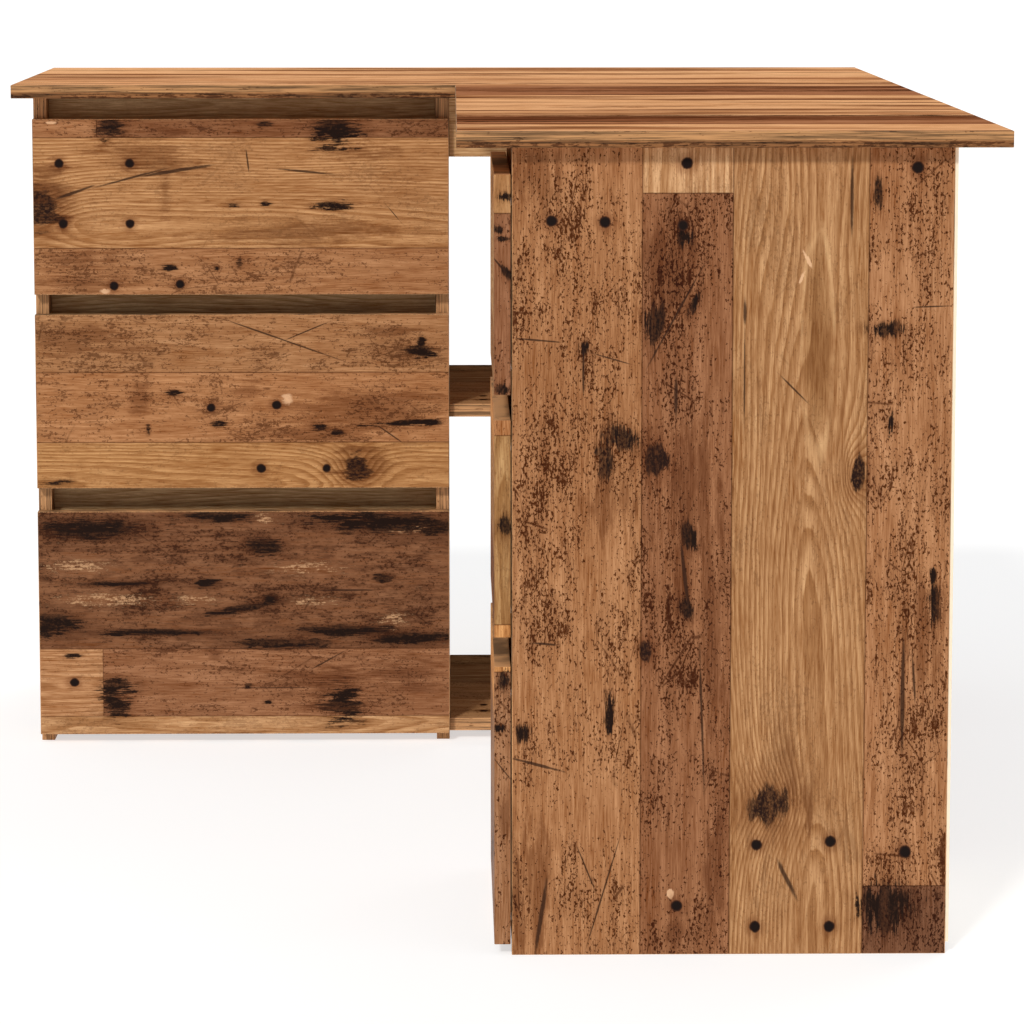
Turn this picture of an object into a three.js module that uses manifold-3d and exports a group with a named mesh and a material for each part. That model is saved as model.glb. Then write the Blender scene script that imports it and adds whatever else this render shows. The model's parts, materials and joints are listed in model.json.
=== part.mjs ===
// Corner desk with an L-shaped worktop. The worktop's long arm runs along Y and its short arm
// along -X from the back corner. A base unit stands under the short arm and the corner: a chest of
// three drawers that face -Y, beside an open shelf bay. A pedestal with three drawers that face -X
// stands under the long arm's front end. Everything is board: 15 mm for the worktop, carcass and
// drawer fronts, 12 mm for the drawer boxes and 3 mm hardboard for backs and drawer bottoms.
//
// Millimetres, +Z up. The origin is on the floor, under the middle of the worktop's outline.
import * as THREE from 'three';
import { mergeVertices } from 'three/addons/utils/BufferGeometryUtils.js';
import Module from 'manifold-3d';

// Worktop, an L seen from above.
const TOP_LENGTH = 1450;
const TOP_WIDTH = 1000;
const LONG_ARM_DEPTH = 500;
const SHORT_ARM_DEPTH = 500;
const TOP_THICKNESS = 15;
const DESK_HEIGHT = 760;

// How far the worktop stands out past what carries it.
const END_OVERHANG = 20;
const FRONT_OVERHANG = 50;
const REAR_OVERHANG = 50;

// Boards.
const BOARD = 15;
const BOX_BOARD = 12;
const HARDBOARD = 3;

// Carcasses.
const PEDESTAL_WIDTH = 345;
const FLOOR_GAP = 10;
const BACK_INSET = 1;
const RAIL_HEIGHT = 45;
const RAIL_SETBACK = 25;
const MIDDLE_SHELF_TOP = 392;
const SHELF_RAIL_HEIGHT = 69;

// Drawer fronts, from the lowest up: each has an open finger gap above it instead of a handle.
const LOW_FRONT_HEIGHT = 260;
const LOWER_FINGER_GAP = 27;
const UPPER_FINGER_GAP = 23;
const TOP_FINGER_GAP = 25;
const FRONT_AIR = 1;

// Drawer boxes, behind their fronts.
const BOX_REAR_SPACE = 50;
const BOX_SIDE_SPACE = 12.5;
const BOX_RISE = 10;
const BOX_HEADROOM = 50;
const GROOVE_RISE = 8;
const GROOVE_DEPTH = 5;
const GROOVE_CLEARANCE = 0.25;
const GROOVE_END_CLEARANCE = 0.5;

// Steel roller runners, as long as the boxes: the channels that are screwed to the carcass.
const RUNNER_HEIGHT = 22;
const RUNNER_WIDTH = 9.5;
const RUNNER_STEEL = 1.25;
const RUNNER_SETBACK = 2;
const RUNNER_DROP = 2.25;

// What follows from those sizes.
const TOP_UNDERSIDE = DESK_HEIGHT - TOP_THICKNESS;
const TOP_RIGHT = TOP_WIDTH / 2;
const TOP_LEFT = -TOP_RIGHT;
const TOP_BACK = TOP_LENGTH / 2;
const TOP_FRONT = -TOP_BACK;
const UNIT_RIGHT = TOP_RIGHT - REAR_OVERHANG;
const BOTTOM_BOARD_TOP = FLOOR_GAP + BOARD;
const GROOVE_HEIGHT = HARDBOARD + 2 * GROOVE_CLEARANCE;
const UPPER_FRONT_HEIGHT =
  (TOP_UNDERSIDE - FLOOR_GAP - LOW_FRONT_HEIGHT - LOWER_FINGER_GAP - UPPER_FINGER_GAP - TOP_FINGER_GAP) / 2;

const BASE = {
  left: TOP_LEFT + END_OVERHANG,
  right: UNIT_RIGHT,
  front: TOP_BACK - SHORT_ARM_DEPTH + FRONT_OVERHANG,
  depth: SHORT_ARM_DEPTH - FRONT_OVERHANG - REAR_OVERHANG,
};
const BAY_WIDTH = (BASE.right - BASE.left - 3 * BOARD) / 2;

const PEDESTAL = {
  front: TOP_RIGHT - LONG_ARM_DEPTH + FRONT_OVERHANG,
  nearEnd: TOP_FRONT + END_OVERHANG,
  depth: LONG_ARM_DEPTH - FRONT_OVERHANG - REAR_OVERHANG,
};

// The three levels of a chest: the front's height range and the rail centred on the gap above it.
const LEVELS = drawerLevels();

const FINISHES = {
  worktop: { color: 0xcd915f, roughness: 0.5, metalness: 0 },
  panel: { color: 0xb98a58, roughness: 0.55, metalness: 0 },
  front: { color: 0xa5744a, roughness: 0.55, metalness: 0 },
  inside: { color: 0x8f6b47, roughness: 0.6, metalness: 0 },
  drawerBox: { color: 0xd9c6a4, roughness: 0.6, metalness: 0 },
  hardboard: { color: 0xf0dcbb, roughness: 0.75, metalness: 0 },
  steel: { color: 0xd8d9d6, roughness: 0.4, metalness: 0.6 },
};

const wasm = await Module();
wasm.setup();

/** The value moved to a 1/64 mm grid, so that boards that touch share one exact plane. */
function snap(value) {
  return Math.round(value * 64) / 64;
}

/** Height ranges of the three drawers' fronts, and of the rail behind the gap above each one. */
function drawerLevels() {
  const levels = [];
  let bottom = FLOOR_GAP;
  for (const [name, height, gap] of [
    ['bottom', LOW_FRONT_HEIGHT, LOWER_FINGER_GAP],
    ['middle', UPPER_FRONT_HEIGHT, UPPER_FINGER_GAP],
    ['top', UPPER_FRONT_HEIGHT, TOP_FINGER_GAP],
  ]) {
    const top = bottom + height;
    const railTop = name === 'top' ? TOP_UNDERSIDE : top + (gap + RAIL_HEIGHT) / 2;
    levels.push({ name, front: [bottom, top], rail: [railTop - RAIL_HEIGHT, railTop] });
    bottom = top + gap;
  }
  return levels;
}

/** A mesh with a material of its own, in one of the finishes. */
function piece(name, finish, geometry) {
  const mesh = new THREE.Mesh(geometry, new THREE.MeshStandardMaterial(FINISHES[finish]));
  mesh.name = name;
  return mesh;
}

/** A square-edged board that fills a range along each axis of its group. */
function board(name, finish, ...ranges) {
  const [low, high] = [0, 1].map((end) => new THREE.Vector3(...ranges.map((range) => snap(range[end]))));
  const size = high.clone().sub(low);
  const mesh = piece(name, finish, new THREE.BoxGeometry(size.x, size.y, size.z));
  mesh.position.addVectors(low, high).divideScalar(2);
  return mesh;
}

/** A closed outline of [across, up] points, drawn along Y for a length. */
function profileAlongY(points, length) {
  const outline = new THREE.Shape(points.map(([across, up]) => new THREE.Vector2(snap(across), snap(up))));
  const geometry = new THREE.ExtrudeGeometry(outline, { depth: snap(length), bevelEnabled: false });
  return geometry.rotateX(Math.PI / 2).translate(0, snap(length), 0);
}

/** The geometry of one closed mesh as a solid that can be cut. */
function solidOf(geometry) {
  const bare = geometry.clone().deleteAttribute('normal').deleteAttribute('uv');
  const merged = mergeVertices(bare);
  return new wasm.Manifold(new wasm.Mesh({
    numProp: 3,
    vertProperties: new Float32Array(merged.attributes.position.array),
    triVerts: new Uint32Array(merged.index.array),
  }));
}

/** A solid's surface as geometry. */
function geometryOf(solid) {
  const { vertProperties, triVerts } = solid.getMesh();
  const geometry = new THREE.BufferGeometry();
  geometry.setAttribute('position', new THREE.BufferAttribute(vertProperties, 3));
  geometry.setIndex(new THREE.BufferAttribute(triVerts, 1));
  geometry.computeVertexNormals();
  return geometry;
}

/** A board with a block cut out of it; both are boards in the same group. */
function cutFrom(mesh, cutter) {
  const offset = cutter.position.clone().sub(mesh.position);
  const tool = cutter.geometry.clone().translate(offset.x, offset.y, offset.z);
  mesh.geometry = geometryOf(solidOf(mesh.geometry).subtract(solidOf(tool)));
  return mesh;
}

/** The L-shaped worktop. */
function worktop() {
  const innerX = TOP_RIGHT - LONG_ARM_DEPTH;
  const innerY = TOP_BACK - SHORT_ARM_DEPTH;
  const outline = new THREE.Shape([
    [innerX, TOP_FRONT],
    [TOP_RIGHT, TOP_FRONT],
    [TOP_RIGHT, TOP_BACK],
    [TOP_LEFT, TOP_BACK],
    [TOP_LEFT, innerY],
    [innerX, innerY],
  ].map(([x, y]) => new THREE.Vector2(snap(x), snap(y))));
  const depth = snap(DESK_HEIGHT) - snap(TOP_UNDERSIDE);
  const mesh = piece('desktop', 'worktop', new THREE.ExtrudeGeometry(outline, { depth, bevelEnabled: false }));
  mesh.position.z = snap(TOP_UNDERSIDE);
  return mesh;
}

/**
 * A drawer's side, with the groove that holds the drawer's bottom. The outline starts at the
 * lower corner of the inner face, and `outward` is the way from there to the outer face.
 */
function drawerSide(name, innerX, outward, length, [low, high]) {
  const out = (distance) => outward * distance;
  const height = high - low;
  const mesh = piece(name, 'drawerBox', profileAlongY([
    [0, 0],
    [out(BOX_BOARD), 0],
    [out(BOX_BOARD), height],
    [0, height],
    [0, GROOVE_RISE + GROOVE_HEIGHT],
    [out(GROOVE_DEPTH), GROOVE_RISE + GROOVE_HEIGHT],
    [out(GROOVE_DEPTH), GROOVE_RISE],
    [0, GROOVE_RISE],
  ], length));
  mesh.position.set(snap(innerX), snap(-FRONT_AIR), snap(low));
  return mesh;
}

/** One drawer of a chest of that outer width: its front, two sides, back and bottom. */
function drawer(name, width, length, frontRange, boxRange) {
  const inner = [BOARD + BOX_SIDE_SPACE + BOX_BOARD, width - BOARD - BOX_SIDE_SPACE - BOX_BOARD];
  const grooved = [inner[0] - GROOVE_DEPTH, inner[1] + GROOVE_DEPTH];
  const grooveLow = boxRange[0] + GROOVE_RISE;
  const boxFront = -FRONT_AIR;
  const boxBack = boxFront + length;
  const tongue = GROOVE_DEPTH - GROOVE_END_CLEARANCE;
  const groove = board('', 'front', grooved, [boxFront - GROOVE_DEPTH, boxFront + 1],
    [grooveLow, grooveLow + GROOVE_HEIGHT]);
  const front = board(`${name}_front`, 'front', [0, width], [boxFront - BOARD, boxFront], frontRange);
  return new THREE.Group().add(
    cutFrom(front, groove),
    drawerSide(`${name}_left_side`, inner[0], -1, length, boxRange),
    drawerSide(`${name}_right_side`, inner[1], 1, length, boxRange),
    board(`${name}_back`, 'drawerBox', inner, [boxBack - BOX_BOARD, boxBack],
      [grooveLow + GROOVE_HEIGHT, boxRange[1]]),
    board(`${name}_bottom`, 'hardboard', [inner[0] - tongue, inner[1] + tongue], [boxFront - tongue, boxBack],
      [grooveLow + GROOVE_CLEARANCE, grooveLow + GROOVE_CLEARANCE + HARDBOARD]),
  );
}

/** A runner's steel channel on an upright's face at x; `inward` is the way to the drawer. */
function runner(name, x, inward, length, bottom) {
  const into = (distance) => inward * distance;
  const mesh = piece(name, 'steel', profileAlongY([
    [0, 0],
    [into(RUNNER_WIDTH), 0],
    [into(RUNNER_WIDTH), RUNNER_STEEL],
    [into(RUNNER_STEEL), RUNNER_STEEL],
    [into(RUNNER_STEEL), RUNNER_HEIGHT - RUNNER_STEEL],
    [into(RUNNER_WIDTH), RUNNER_HEIGHT - RUNNER_STEEL],
    [into(RUNNER_WIDTH), RUNNER_HEIGHT],
    [0, RUNNER_HEIGHT],
  ], length));
  mesh.position.set(snap(x), snap(RUNNER_SETBACK), snap(bottom));
  return mesh;
}

/**
 * What stands between a chest's two uprights: bottom board, rails, drawers and runners, and the
 * hardboard back behind them. x runs from the left upright's outer face, y from the uprights'
 * front edges to the back, and the drawers face -y. `railLevels` names the levels with a rail.
 */
function chest(name, width, depth, railLevels) {
  const between = [BOARD, width - BOARD];
  const boxLength = depth - BOX_REAR_SPACE;
  const group = new THREE.Group().add(
    board(`${name}_chest_bottom`, 'inside', between, [0, depth], [FLOOR_GAP, BOTTOM_BOARD_TOP]),
    board(`${name}_chest_back`, 'hardboard', [BACK_INSET, width - BACK_INSET], [depth, depth + HARDBOARD],
      [FLOOR_GAP + BACK_INSET, TOP_UNDERSIDE - BACK_INSET]),
  );
  let seat = BOTTOM_BOARD_TOP;
  for (const { name: level, front, rail } of LEVELS) {
    const boxRange = [seat + BOX_RISE, rail[0] - BOX_HEADROOM];
    const runnerBottom = boxRange[0] - RUNNER_DROP;
    group.add(
      drawer(`${name}_${level}_drawer`, width, boxLength, front, boxRange),
      runner(`${name}_${level}_left_runner`, between[0], 1, boxLength, runnerBottom),
      runner(`${name}_${level}_right_runner`, between[1], -1, boxLength, runnerBottom),
    );
    if (railLevels.includes(level)) {
      group.add(board(`${name}_${level}_rail`, 'inside', between, [RAIL_SETBACK, RAIL_SETBACK + BOARD], rail));
    }
    seat = rail[1];
  }
  return group;
}

/** An upright that stands on the floor and reaches the worktop. */
function upright(name, left, depth) {
  return board(name, 'panel', [left, left + BOARD], [0, depth], [0, TOP_UNDERSIDE]);
}

/** The base unit: a drawer chest in the left bay and open shelves in the right bay. */
function baseUnit() {
  const chestWidth = BAY_WIDTH + 2 * BOARD;
  const bay = [chestWidth, chestWidth + BAY_WIDTH];
  const depthRange = [0, BASE.depth];
  const unit = new THREE.Group().add(
    upright('base_left_upright', 0, BASE.depth),
    upright('base_middle_upright', bay[0] - BOARD, BASE.depth),
    upright('base_right_upright', bay[1], BASE.depth),
    chest('base', chestWidth, BASE.depth, ['bottom', 'middle', 'top']),
    board('shelf_bay_bottom', 'inside', bay, depthRange, [FLOOR_GAP, BOTTOM_BOARD_TOP]),
    board('shelf_bay_middle_shelf', 'inside', bay, depthRange, [MIDDLE_SHELF_TOP - BOARD, MIDDLE_SHELF_TOP]),
    board('shelf_bay_rail', 'inside', bay, [0, BOARD], [TOP_UNDERSIDE - SHELF_RAIL_HEIGHT, TOP_UNDERSIDE]),
  );
  unit.position.set(snap(BASE.left), snap(BASE.front), 0);
  return unit;
}

/** The pedestal. Its hidden top rail is not among these pieces. */
function pedestalUnit() {
  const unit = new THREE.Group().add(
    upright('pedestal_left_upright', 0, PEDESTAL.depth),
    upright('pedestal_right_upright', PEDESTAL_WIDTH - BOARD, PEDESTAL.depth),
    chest('pedestal', PEDESTAL_WIDTH, PEDESTAL.depth, ['bottom', 'middle']),
  );
  unit.rotation.z = -Math.PI / 2;
  unit.position.set(snap(PEDESTAL.front), snap(PEDESTAL.nearEnd + PEDESTAL_WIDTH), 0);
  return unit;
}

const desk = new THREE.Group().add(worktop(), baseUnit(), pedestalUnit());

export default desk;
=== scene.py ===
"""Looks of the corner desk: boards with a printed decor of old planks, drawers, runners and fittings."""
from __future__ import annotations

import json
import logging
import math
import random
from collections.abc import Iterable, Mapping, Sequence
from dataclasses import dataclass
from enum import Enum
from typing import Any

import bmesh
import bpy
from mathutils import Matrix, Vector

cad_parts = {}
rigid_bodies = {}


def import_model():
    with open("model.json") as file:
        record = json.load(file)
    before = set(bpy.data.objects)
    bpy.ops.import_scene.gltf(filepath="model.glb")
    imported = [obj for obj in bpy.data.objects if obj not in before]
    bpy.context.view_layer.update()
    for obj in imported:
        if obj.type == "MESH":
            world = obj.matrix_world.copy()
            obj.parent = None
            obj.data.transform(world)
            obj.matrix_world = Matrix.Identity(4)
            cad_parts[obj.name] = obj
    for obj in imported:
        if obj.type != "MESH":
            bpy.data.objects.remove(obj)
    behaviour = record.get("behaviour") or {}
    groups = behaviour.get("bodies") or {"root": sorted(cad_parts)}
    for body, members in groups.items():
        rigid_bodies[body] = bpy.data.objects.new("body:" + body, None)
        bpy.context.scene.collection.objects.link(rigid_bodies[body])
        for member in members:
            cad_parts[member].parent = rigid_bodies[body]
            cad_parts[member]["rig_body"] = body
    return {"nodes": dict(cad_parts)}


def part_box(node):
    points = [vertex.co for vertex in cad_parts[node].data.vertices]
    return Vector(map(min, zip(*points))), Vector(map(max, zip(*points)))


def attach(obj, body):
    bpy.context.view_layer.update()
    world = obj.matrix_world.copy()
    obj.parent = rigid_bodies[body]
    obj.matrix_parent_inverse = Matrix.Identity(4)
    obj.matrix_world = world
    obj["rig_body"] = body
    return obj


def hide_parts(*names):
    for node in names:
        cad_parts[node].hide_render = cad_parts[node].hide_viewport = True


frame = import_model()

logging.basicConfig(level=logging.INFO, format="%(message)s")
log = logging.getLogger("corner_desk")

CARCASS = "desk_carcass"
MM = 0.001
AXES = "XYZ"
LEVELS = ("bottom", "middle", "top")
SIDES = ("left", "right")
UP = Vector((0, 0, 1))
AXIS_WAYS = (Vector((1, 0, 0)), Vector((0, 1, 0)), UP)

Colour = tuple[float, float, float]
Operand = "Shade | float | Sequence[float]"
Outline = Sequence[tuple[float, float]]


def paint(red: float, green: float, blue: float) -> Colour:
    """A display colour of 0 to 255 per channel as the linear colour that shaders use.

    Args:
        red: Red as displayed.
        green: Green as displayed.
        blue: Blue as displayed.

    Returns:
        The linear red, green and blue.
    """
    shares = (red / 255, green / 255, blue / 255)
    return tuple(x / 12.92 if x <= 0.04045 else ((x + 0.055) / 1.055) ** 2.4 for x in shares)


def shaded(tone: Colour, share: float) -> Colour:
    """A display colour made darker or paler by a share, as the linear colour that shaders use."""
    return paint(*(channel * share for channel in tone))


# ---------------------------------------------------------------------------------------------
# Shader expressions
# ---------------------------------------------------------------------------------------------


class Shade:
    """A socket that takes part in Python arithmetic; each operator adds the node that works it out."""

    def __init__(self, net: Net, socket: bpy.types.NodeSocket) -> None:
        """Wraps a socket of a net.

        Args:
            net: The net that holds the socket's node.
            socket: The output socket.
        """
        self.net = net
        self.socket = socket

    def output(self, name: str | int) -> Shade:
        """Another output of the same node."""
        return Shade(self.net, self.socket.node.outputs[name])

    def _work(self, operation: str, left: Operand, right: Operand) -> Shade:
        """Adds a Math node, or a Vector Math node where either side is a vector or a colour.

        Args:
            operation: The node's operation.
            left: First operand.
            right: Second operand.

        Returns:
            The result.
        """
        if _is_vector(left) or _is_vector(right):
            sides = {0: _spread(left), 1: _spread(right)}
            return self.net.add("ShaderNodeVectorMath", {"operation": operation}, sides)
        return self.net.add("ShaderNodeMath", {"operation": operation}, {0: left, 1: right})

    def __add__(self, other: Operand) -> Shade:
        """Sum."""
        return self._work("ADD", self, other)

    __radd__ = __add__

    def __sub__(self, other: Operand) -> Shade:
        """Difference."""
        return self._work("SUBTRACT", self, other)

    def __rsub__(self, other: Operand) -> Shade:
        """Difference from a number."""
        return self._work("SUBTRACT", other, self)

    def __mul__(self, other: Operand) -> Shade:
        """Product."""
        return self._work("MULTIPLY", self, other)

    __rmul__ = __mul__

    def __truediv__(self, other: Operand) -> Shade:
        """Quotient."""
        return self._work("DIVIDE", self, other)

    def __rtruediv__(self, other: Operand) -> Shade:
        """Quotient of a number by this."""
        return self._work("DIVIDE", other, self)

    def __abs__(self) -> Shade:
        """Size without its sign."""
        return self.alone("ABSOLUTE")

    def __gt__(self, other: Operand) -> Shade:
        """1 where this is greater, else 0."""
        return self._work("GREATER_THAN", self, other)

    def __lt__(self, other: Operand) -> Shade:
        """1 where this is less, else 0."""
        return self._work("LESS_THAN", self, other)

    def alone(self, operation: str) -> Shade:
        """A Math node of one operand, such as FRACT or SQRT."""
        return self.net.add("ShaderNodeMath", {"operation": operation}, {0: self})

    def least(self, other: Operand) -> Shade:
        """The smaller of two values."""
        return self._work("MINIMUM", self, other)

    def most(self, other: Operand) -> Shade:
        """The larger of two values."""
        return self._work("MAXIMUM", self, other)

    def rise(self, low: float, high: float) -> Shade:
        """A smooth step from 0 at one value to 1 at another.

        Args:
            low: Where the step starts.
            high: Where it ends; a value below `low` makes the step fall instead.

        Returns:
            The step.
        """
        ends = (low, high, 0.0, 1.0) if low < high else (high, low, 1.0, 0.0)
        inputs = {"Value": self, **dict(zip(("From Min", "From Max", "To Min", "To Max"), ends))}
        return self.net.add("ShaderNodeMapRange", {"interpolation_type": "SMOOTHSTEP"}, inputs)

    def length(self) -> Shade:
        """Length of a vector."""
        return self.net.add("ShaderNodeVectorMath", {"operation": "LENGTH"}, {0: self}, "Value")

    def dot(self, other: Operand) -> Shade:
        """Dot product with another vector."""
        sides = {0: self, 1: other}
        return self.net.add("ShaderNodeVectorMath", {"operation": "DOT_PRODUCT"}, sides, "Value")


def _is_vector(value: Operand) -> bool:
    """Whether an operand is a vector or a colour."""
    if isinstance(value, Shade):
        return value.socket.type in {"VECTOR", "RGBA"}
    return not isinstance(value, (int, float))


def _spread(value: Operand) -> Operand:
    """A plain number as three equal ones; anything else as it is."""
    return (value, value, value) if isinstance(value, (int, float)) else value


class Net:
    """The node tree of one material or of the world, and the one way to add a node to it."""

    def __init__(self, name: str, world: bool = False) -> None:
        """Starts an empty node tree.

        Args:
            name: The name of the material or world.
            world: Whether it is for the world instead of a material.
        """
        self.owner = (bpy.data.worlds if world else bpy.data.materials).new(name)
        self.owner.use_nodes = True
        self.tree = self.owner.node_tree
        self.tree.nodes.clear()

    def add(
        self,
        kind: str,
        settings: Mapping[str, Any] | None = None,
        inputs: Mapping[str | int, Any] | None = None,
        output: str | int = 0,
    ) -> Shade:
        """Adds a node: its settings first, and then its sockets' values and links.

        Args:
            kind: The node's type.
            settings: Its own properties; `stops` are a colour ramp's (position, colour) pairs.
            inputs: Numbers, tuples or Shades by socket name or index.
            output: The output to return.

        Returns:
            That output.
        """
        node = self.tree.nodes.new(kind)
        for key, value in (settings or {}).items():
            if key == "stops":
                self._set_stops(node.color_ramp, value)
            else:
                setattr(node, key, value)
        for key, value in (inputs or {}).items():
            if isinstance(value, Shade):
                self.tree.links.new(value.socket, node.inputs[key])
            else:
                node.inputs[key].default_value = value
        return Shade(self, node.outputs[output]) if node.outputs else None

    @staticmethod
    def _set_stops(ramp: bpy.types.ColorRamp, stops: Sequence[tuple[float, Sequence[float]]]) -> None:
        """Gives a ramp its stops.

        Args:
            ramp: The ramp of a new node.
            stops: Pairs of a position and a colour of four numbers.
        """
        ramp.interpolation = "CONSTANT"
        while len(ramp.elements) > 1:
            ramp.elements.remove(ramp.elements[-1])
        for count, (position, colour) in enumerate(stops):
            element = ramp.elements[0] if count == 0 else ramp.elements.new(position)
            element.position = position
            element.color = colour

    def pick(self, index: Shade, rows: Sequence[Sequence[float]]) -> Shade:
        """The row of four numbers that an index from 0 names, as a colour.

        Args:
            index: A whole number.
            rows: The rows.

        Returns:
            The colour; its node's Alpha output holds the fourth number.
        """
        place = (index + 0.5) / len(rows)
        stops = [(count / len(rows), row) for count, row in enumerate(rows)]
        return self.add("ShaderNodeValToRGB", {"stops": stops}, {0: place})

    def mix(self, share: Operand, first: Operand, second: Operand) -> Shade:
        """A colour between two.

        Args:
            share: 0 for the first and 1 for the second.
            first: A colour.
            second: A colour.

        Returns:
            The mixed colour.
        """
        sides = {0: share, 6: _rgba(first), 7: _rgba(second)}
        return self.add("ShaderNodeMix", {"data_type": "RGBA"}, sides, 2)

    def vector(self, x: Operand, y: Operand, z: Operand = 0.0) -> Shade:
        """A vector of three values."""
        return self.add("ShaderNodeCombineXYZ", {}, {0: x, 1: y, 2: z})

    def noise(self, place: Shade, steps: Sequence[float], detail: float, rough: float = 0.5) -> Shade:
        """Smooth noise with its own frequency along each axis.

        Args:
            place: Where to read it, in millimetres.
            steps: Waves per millimetre along each axis.
            detail: Number of finer layers.
            rough: Strength of the finer layers.

        Returns:
            Values round 0.5.
        """
        inputs = {"Vector": place * steps, "Scale": 1.0, "Detail": detail, "Roughness": rough}
        return self.add("ShaderNodeTexNoise", {"noise_dimensions": "3D"}, inputs)

    def place(self) -> Shade:
        """The piece's own rest coordinates, in millimetres."""
        return self.add("ShaderNodeTexCoord", output="Object") * (1 / MM)

    def surface(
        self,
        colour: Operand,
        roughness: Operand,
        height: Shade | None = None,
        depth: float = 0.2,
        **values: float,
    ) -> bpy.types.Material:
        """Ends the net in a Principled surface.

        Args:
            colour: Base colour.
            roughness: Roughness.
            height: Relief from 0 to 1, or nothing.
            depth: The relief's depth in millimetres.
            **values: Constant values, by the socket's name in lower case with underscores.

        Returns:
            The material.
        """
        inputs: dict[str, Any] = {"Base Color": _rgba(colour), "Roughness": roughness}
        for key, value in values.items():
            inputs[key.replace("_", " ").title().replace("Ior", "IOR")] = value
        if "emission_strength" in values:
            inputs["Emission Color"] = (1.0, 1.0, 1.0, 1.0)
        if height is not None:
            relief = {"Height": height, "Distance": depth * MM, "Strength": 1.0}
            inputs["Normal"] = self.add("ShaderNodeBump", {}, relief)
        shader = self.add("ShaderNodeBsdfPrincipled", {}, inputs)
        self.add("ShaderNodeOutputMaterial", {}, {"Surface": shader})
        return self.owner


def _rgba(value: Operand) -> Operand:
    """A plain colour of three numbers with the fourth that colour sockets want."""
    return value if isinstance(value, Shade) else (*value, 1.0)


# ---------------------------------------------------------------------------------------------
# The printed decor
# ---------------------------------------------------------------------------------------------

# A ring's width and an arch's lift, in millimetres, travel through a colour as shares of these.
RING_RANGE = 20.0
LIFT_RANGE = 100.0

# The narrowest plank of a random decor, and a width above which it may have nails, in millimetres.
NARROWEST_PLANK = 35
NARROWEST_NAILED = 45


class Wood(Enum):
    """Kinds of plank: how strongly each shows rings, pits, brown clouds and worn flecks."""

    PINE = (0.85, 0.3, 0.3, 0.0)
    BROWN = (0.4, 0.7, 0.55, 0.0)
    PITTED = (0.25, 1.0, 0.55, 0.0)
    WEATHERED = (0.3, 0.75, 1.0, 1.0)
    STREAKED = (0.35, 0.05, 0.5, 0.0)
    SHADED = (0.7, 0.1, 0.2, 0.0)


class Mark(Enum):
    """Kinds of mark that the decor shows at chosen places."""

    NAIL = "nail hole"
    KNOT = "knot"
    CHAR = "blackened patch"
    STAIN = "soft brown stain"
    WORN = "pale worn flecks"
    CRACK = "crack or scratch"
    HEART = "long pale-rimmed heart"
    CHIP = "pale chip"
    PITS = "crowded small pits"


class Tint(Enum):
    """What each kind of darkening leaves of the red, green and blue under it."""

    RING = (0.58, 0.46, 0.34)
    CLOUD = (0.44, 0.34, 0.27)
    BROAD_STREAK = (0.48, 0.35, 0.28)
    DEEP_STREAK = (0.21, 0.12, 0.08)
    CROWDED = (0.72, 0.64, 0.58)
    PIT = (0.2, 0.11, 0.05)
    MOTTLE = (0.3, 0.21, 0.15)
    JOINT = (0.28, 0.2, 0.15)
    STAIN = (0.46, 0.35, 0.27)
    KNOT_HALO = (0.5, 0.36, 0.26)
    CHAR_HALO = (0.45, 0.34, 0.26)
    NAIL_HALO = (0.42, 0.28, 0.2)
    HEART = (0.7, 0.64, 0.55)
    DARK_FOOT = (0.46, 0.34, 0.26)
    BAND_FLECK = (0.24, 0.16, 0.1)


class Ink(Enum):
    """Display colours of marks that cover the wood's own."""

    KNOT = (34, 18, 12)
    CHAR = (28, 15, 9)
    CRACK = (44, 25, 16)
    NAIL_RIM = (48, 26, 17)
    NAIL_HOLE = (24, 15, 12)
    WORN = (196, 152, 112)
    HEART_RIM = (214, 172, 124)
    CHIP = (224, 180, 140)


@dataclass
class Layers:
    """The colour of a surface while darkenings and inks go on, one after another."""

    net: Net
    colour: Shade

    def darken(self, share: Operand, tint: Tint) -> None:
        """Darkens the colour by a tint, fully where the share is 1."""
        self.colour = self.net.mix(share, self.colour, self.colour * tint.value)

    def cover(self, share: Operand, ink: Ink) -> None:
        """Puts an ink over the colour, fully where the share is 1."""
        self.colour = self.net.mix(share, self.colour, paint(*ink.value))


@dataclass(frozen=True)
class Spot:
    """A mark at a place on a panel, in millimetres along and across its planks."""

    mark: Mark
    along: float
    across: float
    length: float = 11.0
    width: float = 11.0
    turn: float = 0.0


def marks(kinds: Mapping[Mark, Sequence[Sequence[float]]]) -> tuple[Spot, ...]:
    """The marks of one panel.

    Args:
        kinds: For each kind, the marks' places, and their size and turn where they aren't the usual ones.

    Returns:
        The marks.
    """
    return tuple(Spot(mark, *row) for mark, rows in kinds.items() for row in rows)


@dataclass(frozen=True)
class Plank:
    """One plank of the decor, counted from the panel's low side across.

    Its rings arch round a pith line, whose place is a share of the plank's width.
    """

    width: float
    wood: Wood
    tone: Colour
    pith: float = 0.5
    ring: float = 5.0
    lift: float = 24.0


@dataclass(frozen=True)
class Short:
    """A short plank let into the row: its range along and across, in millimetres."""

    along: tuple[float, float]
    across: tuple[float, float]
    plank: Plank


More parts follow.
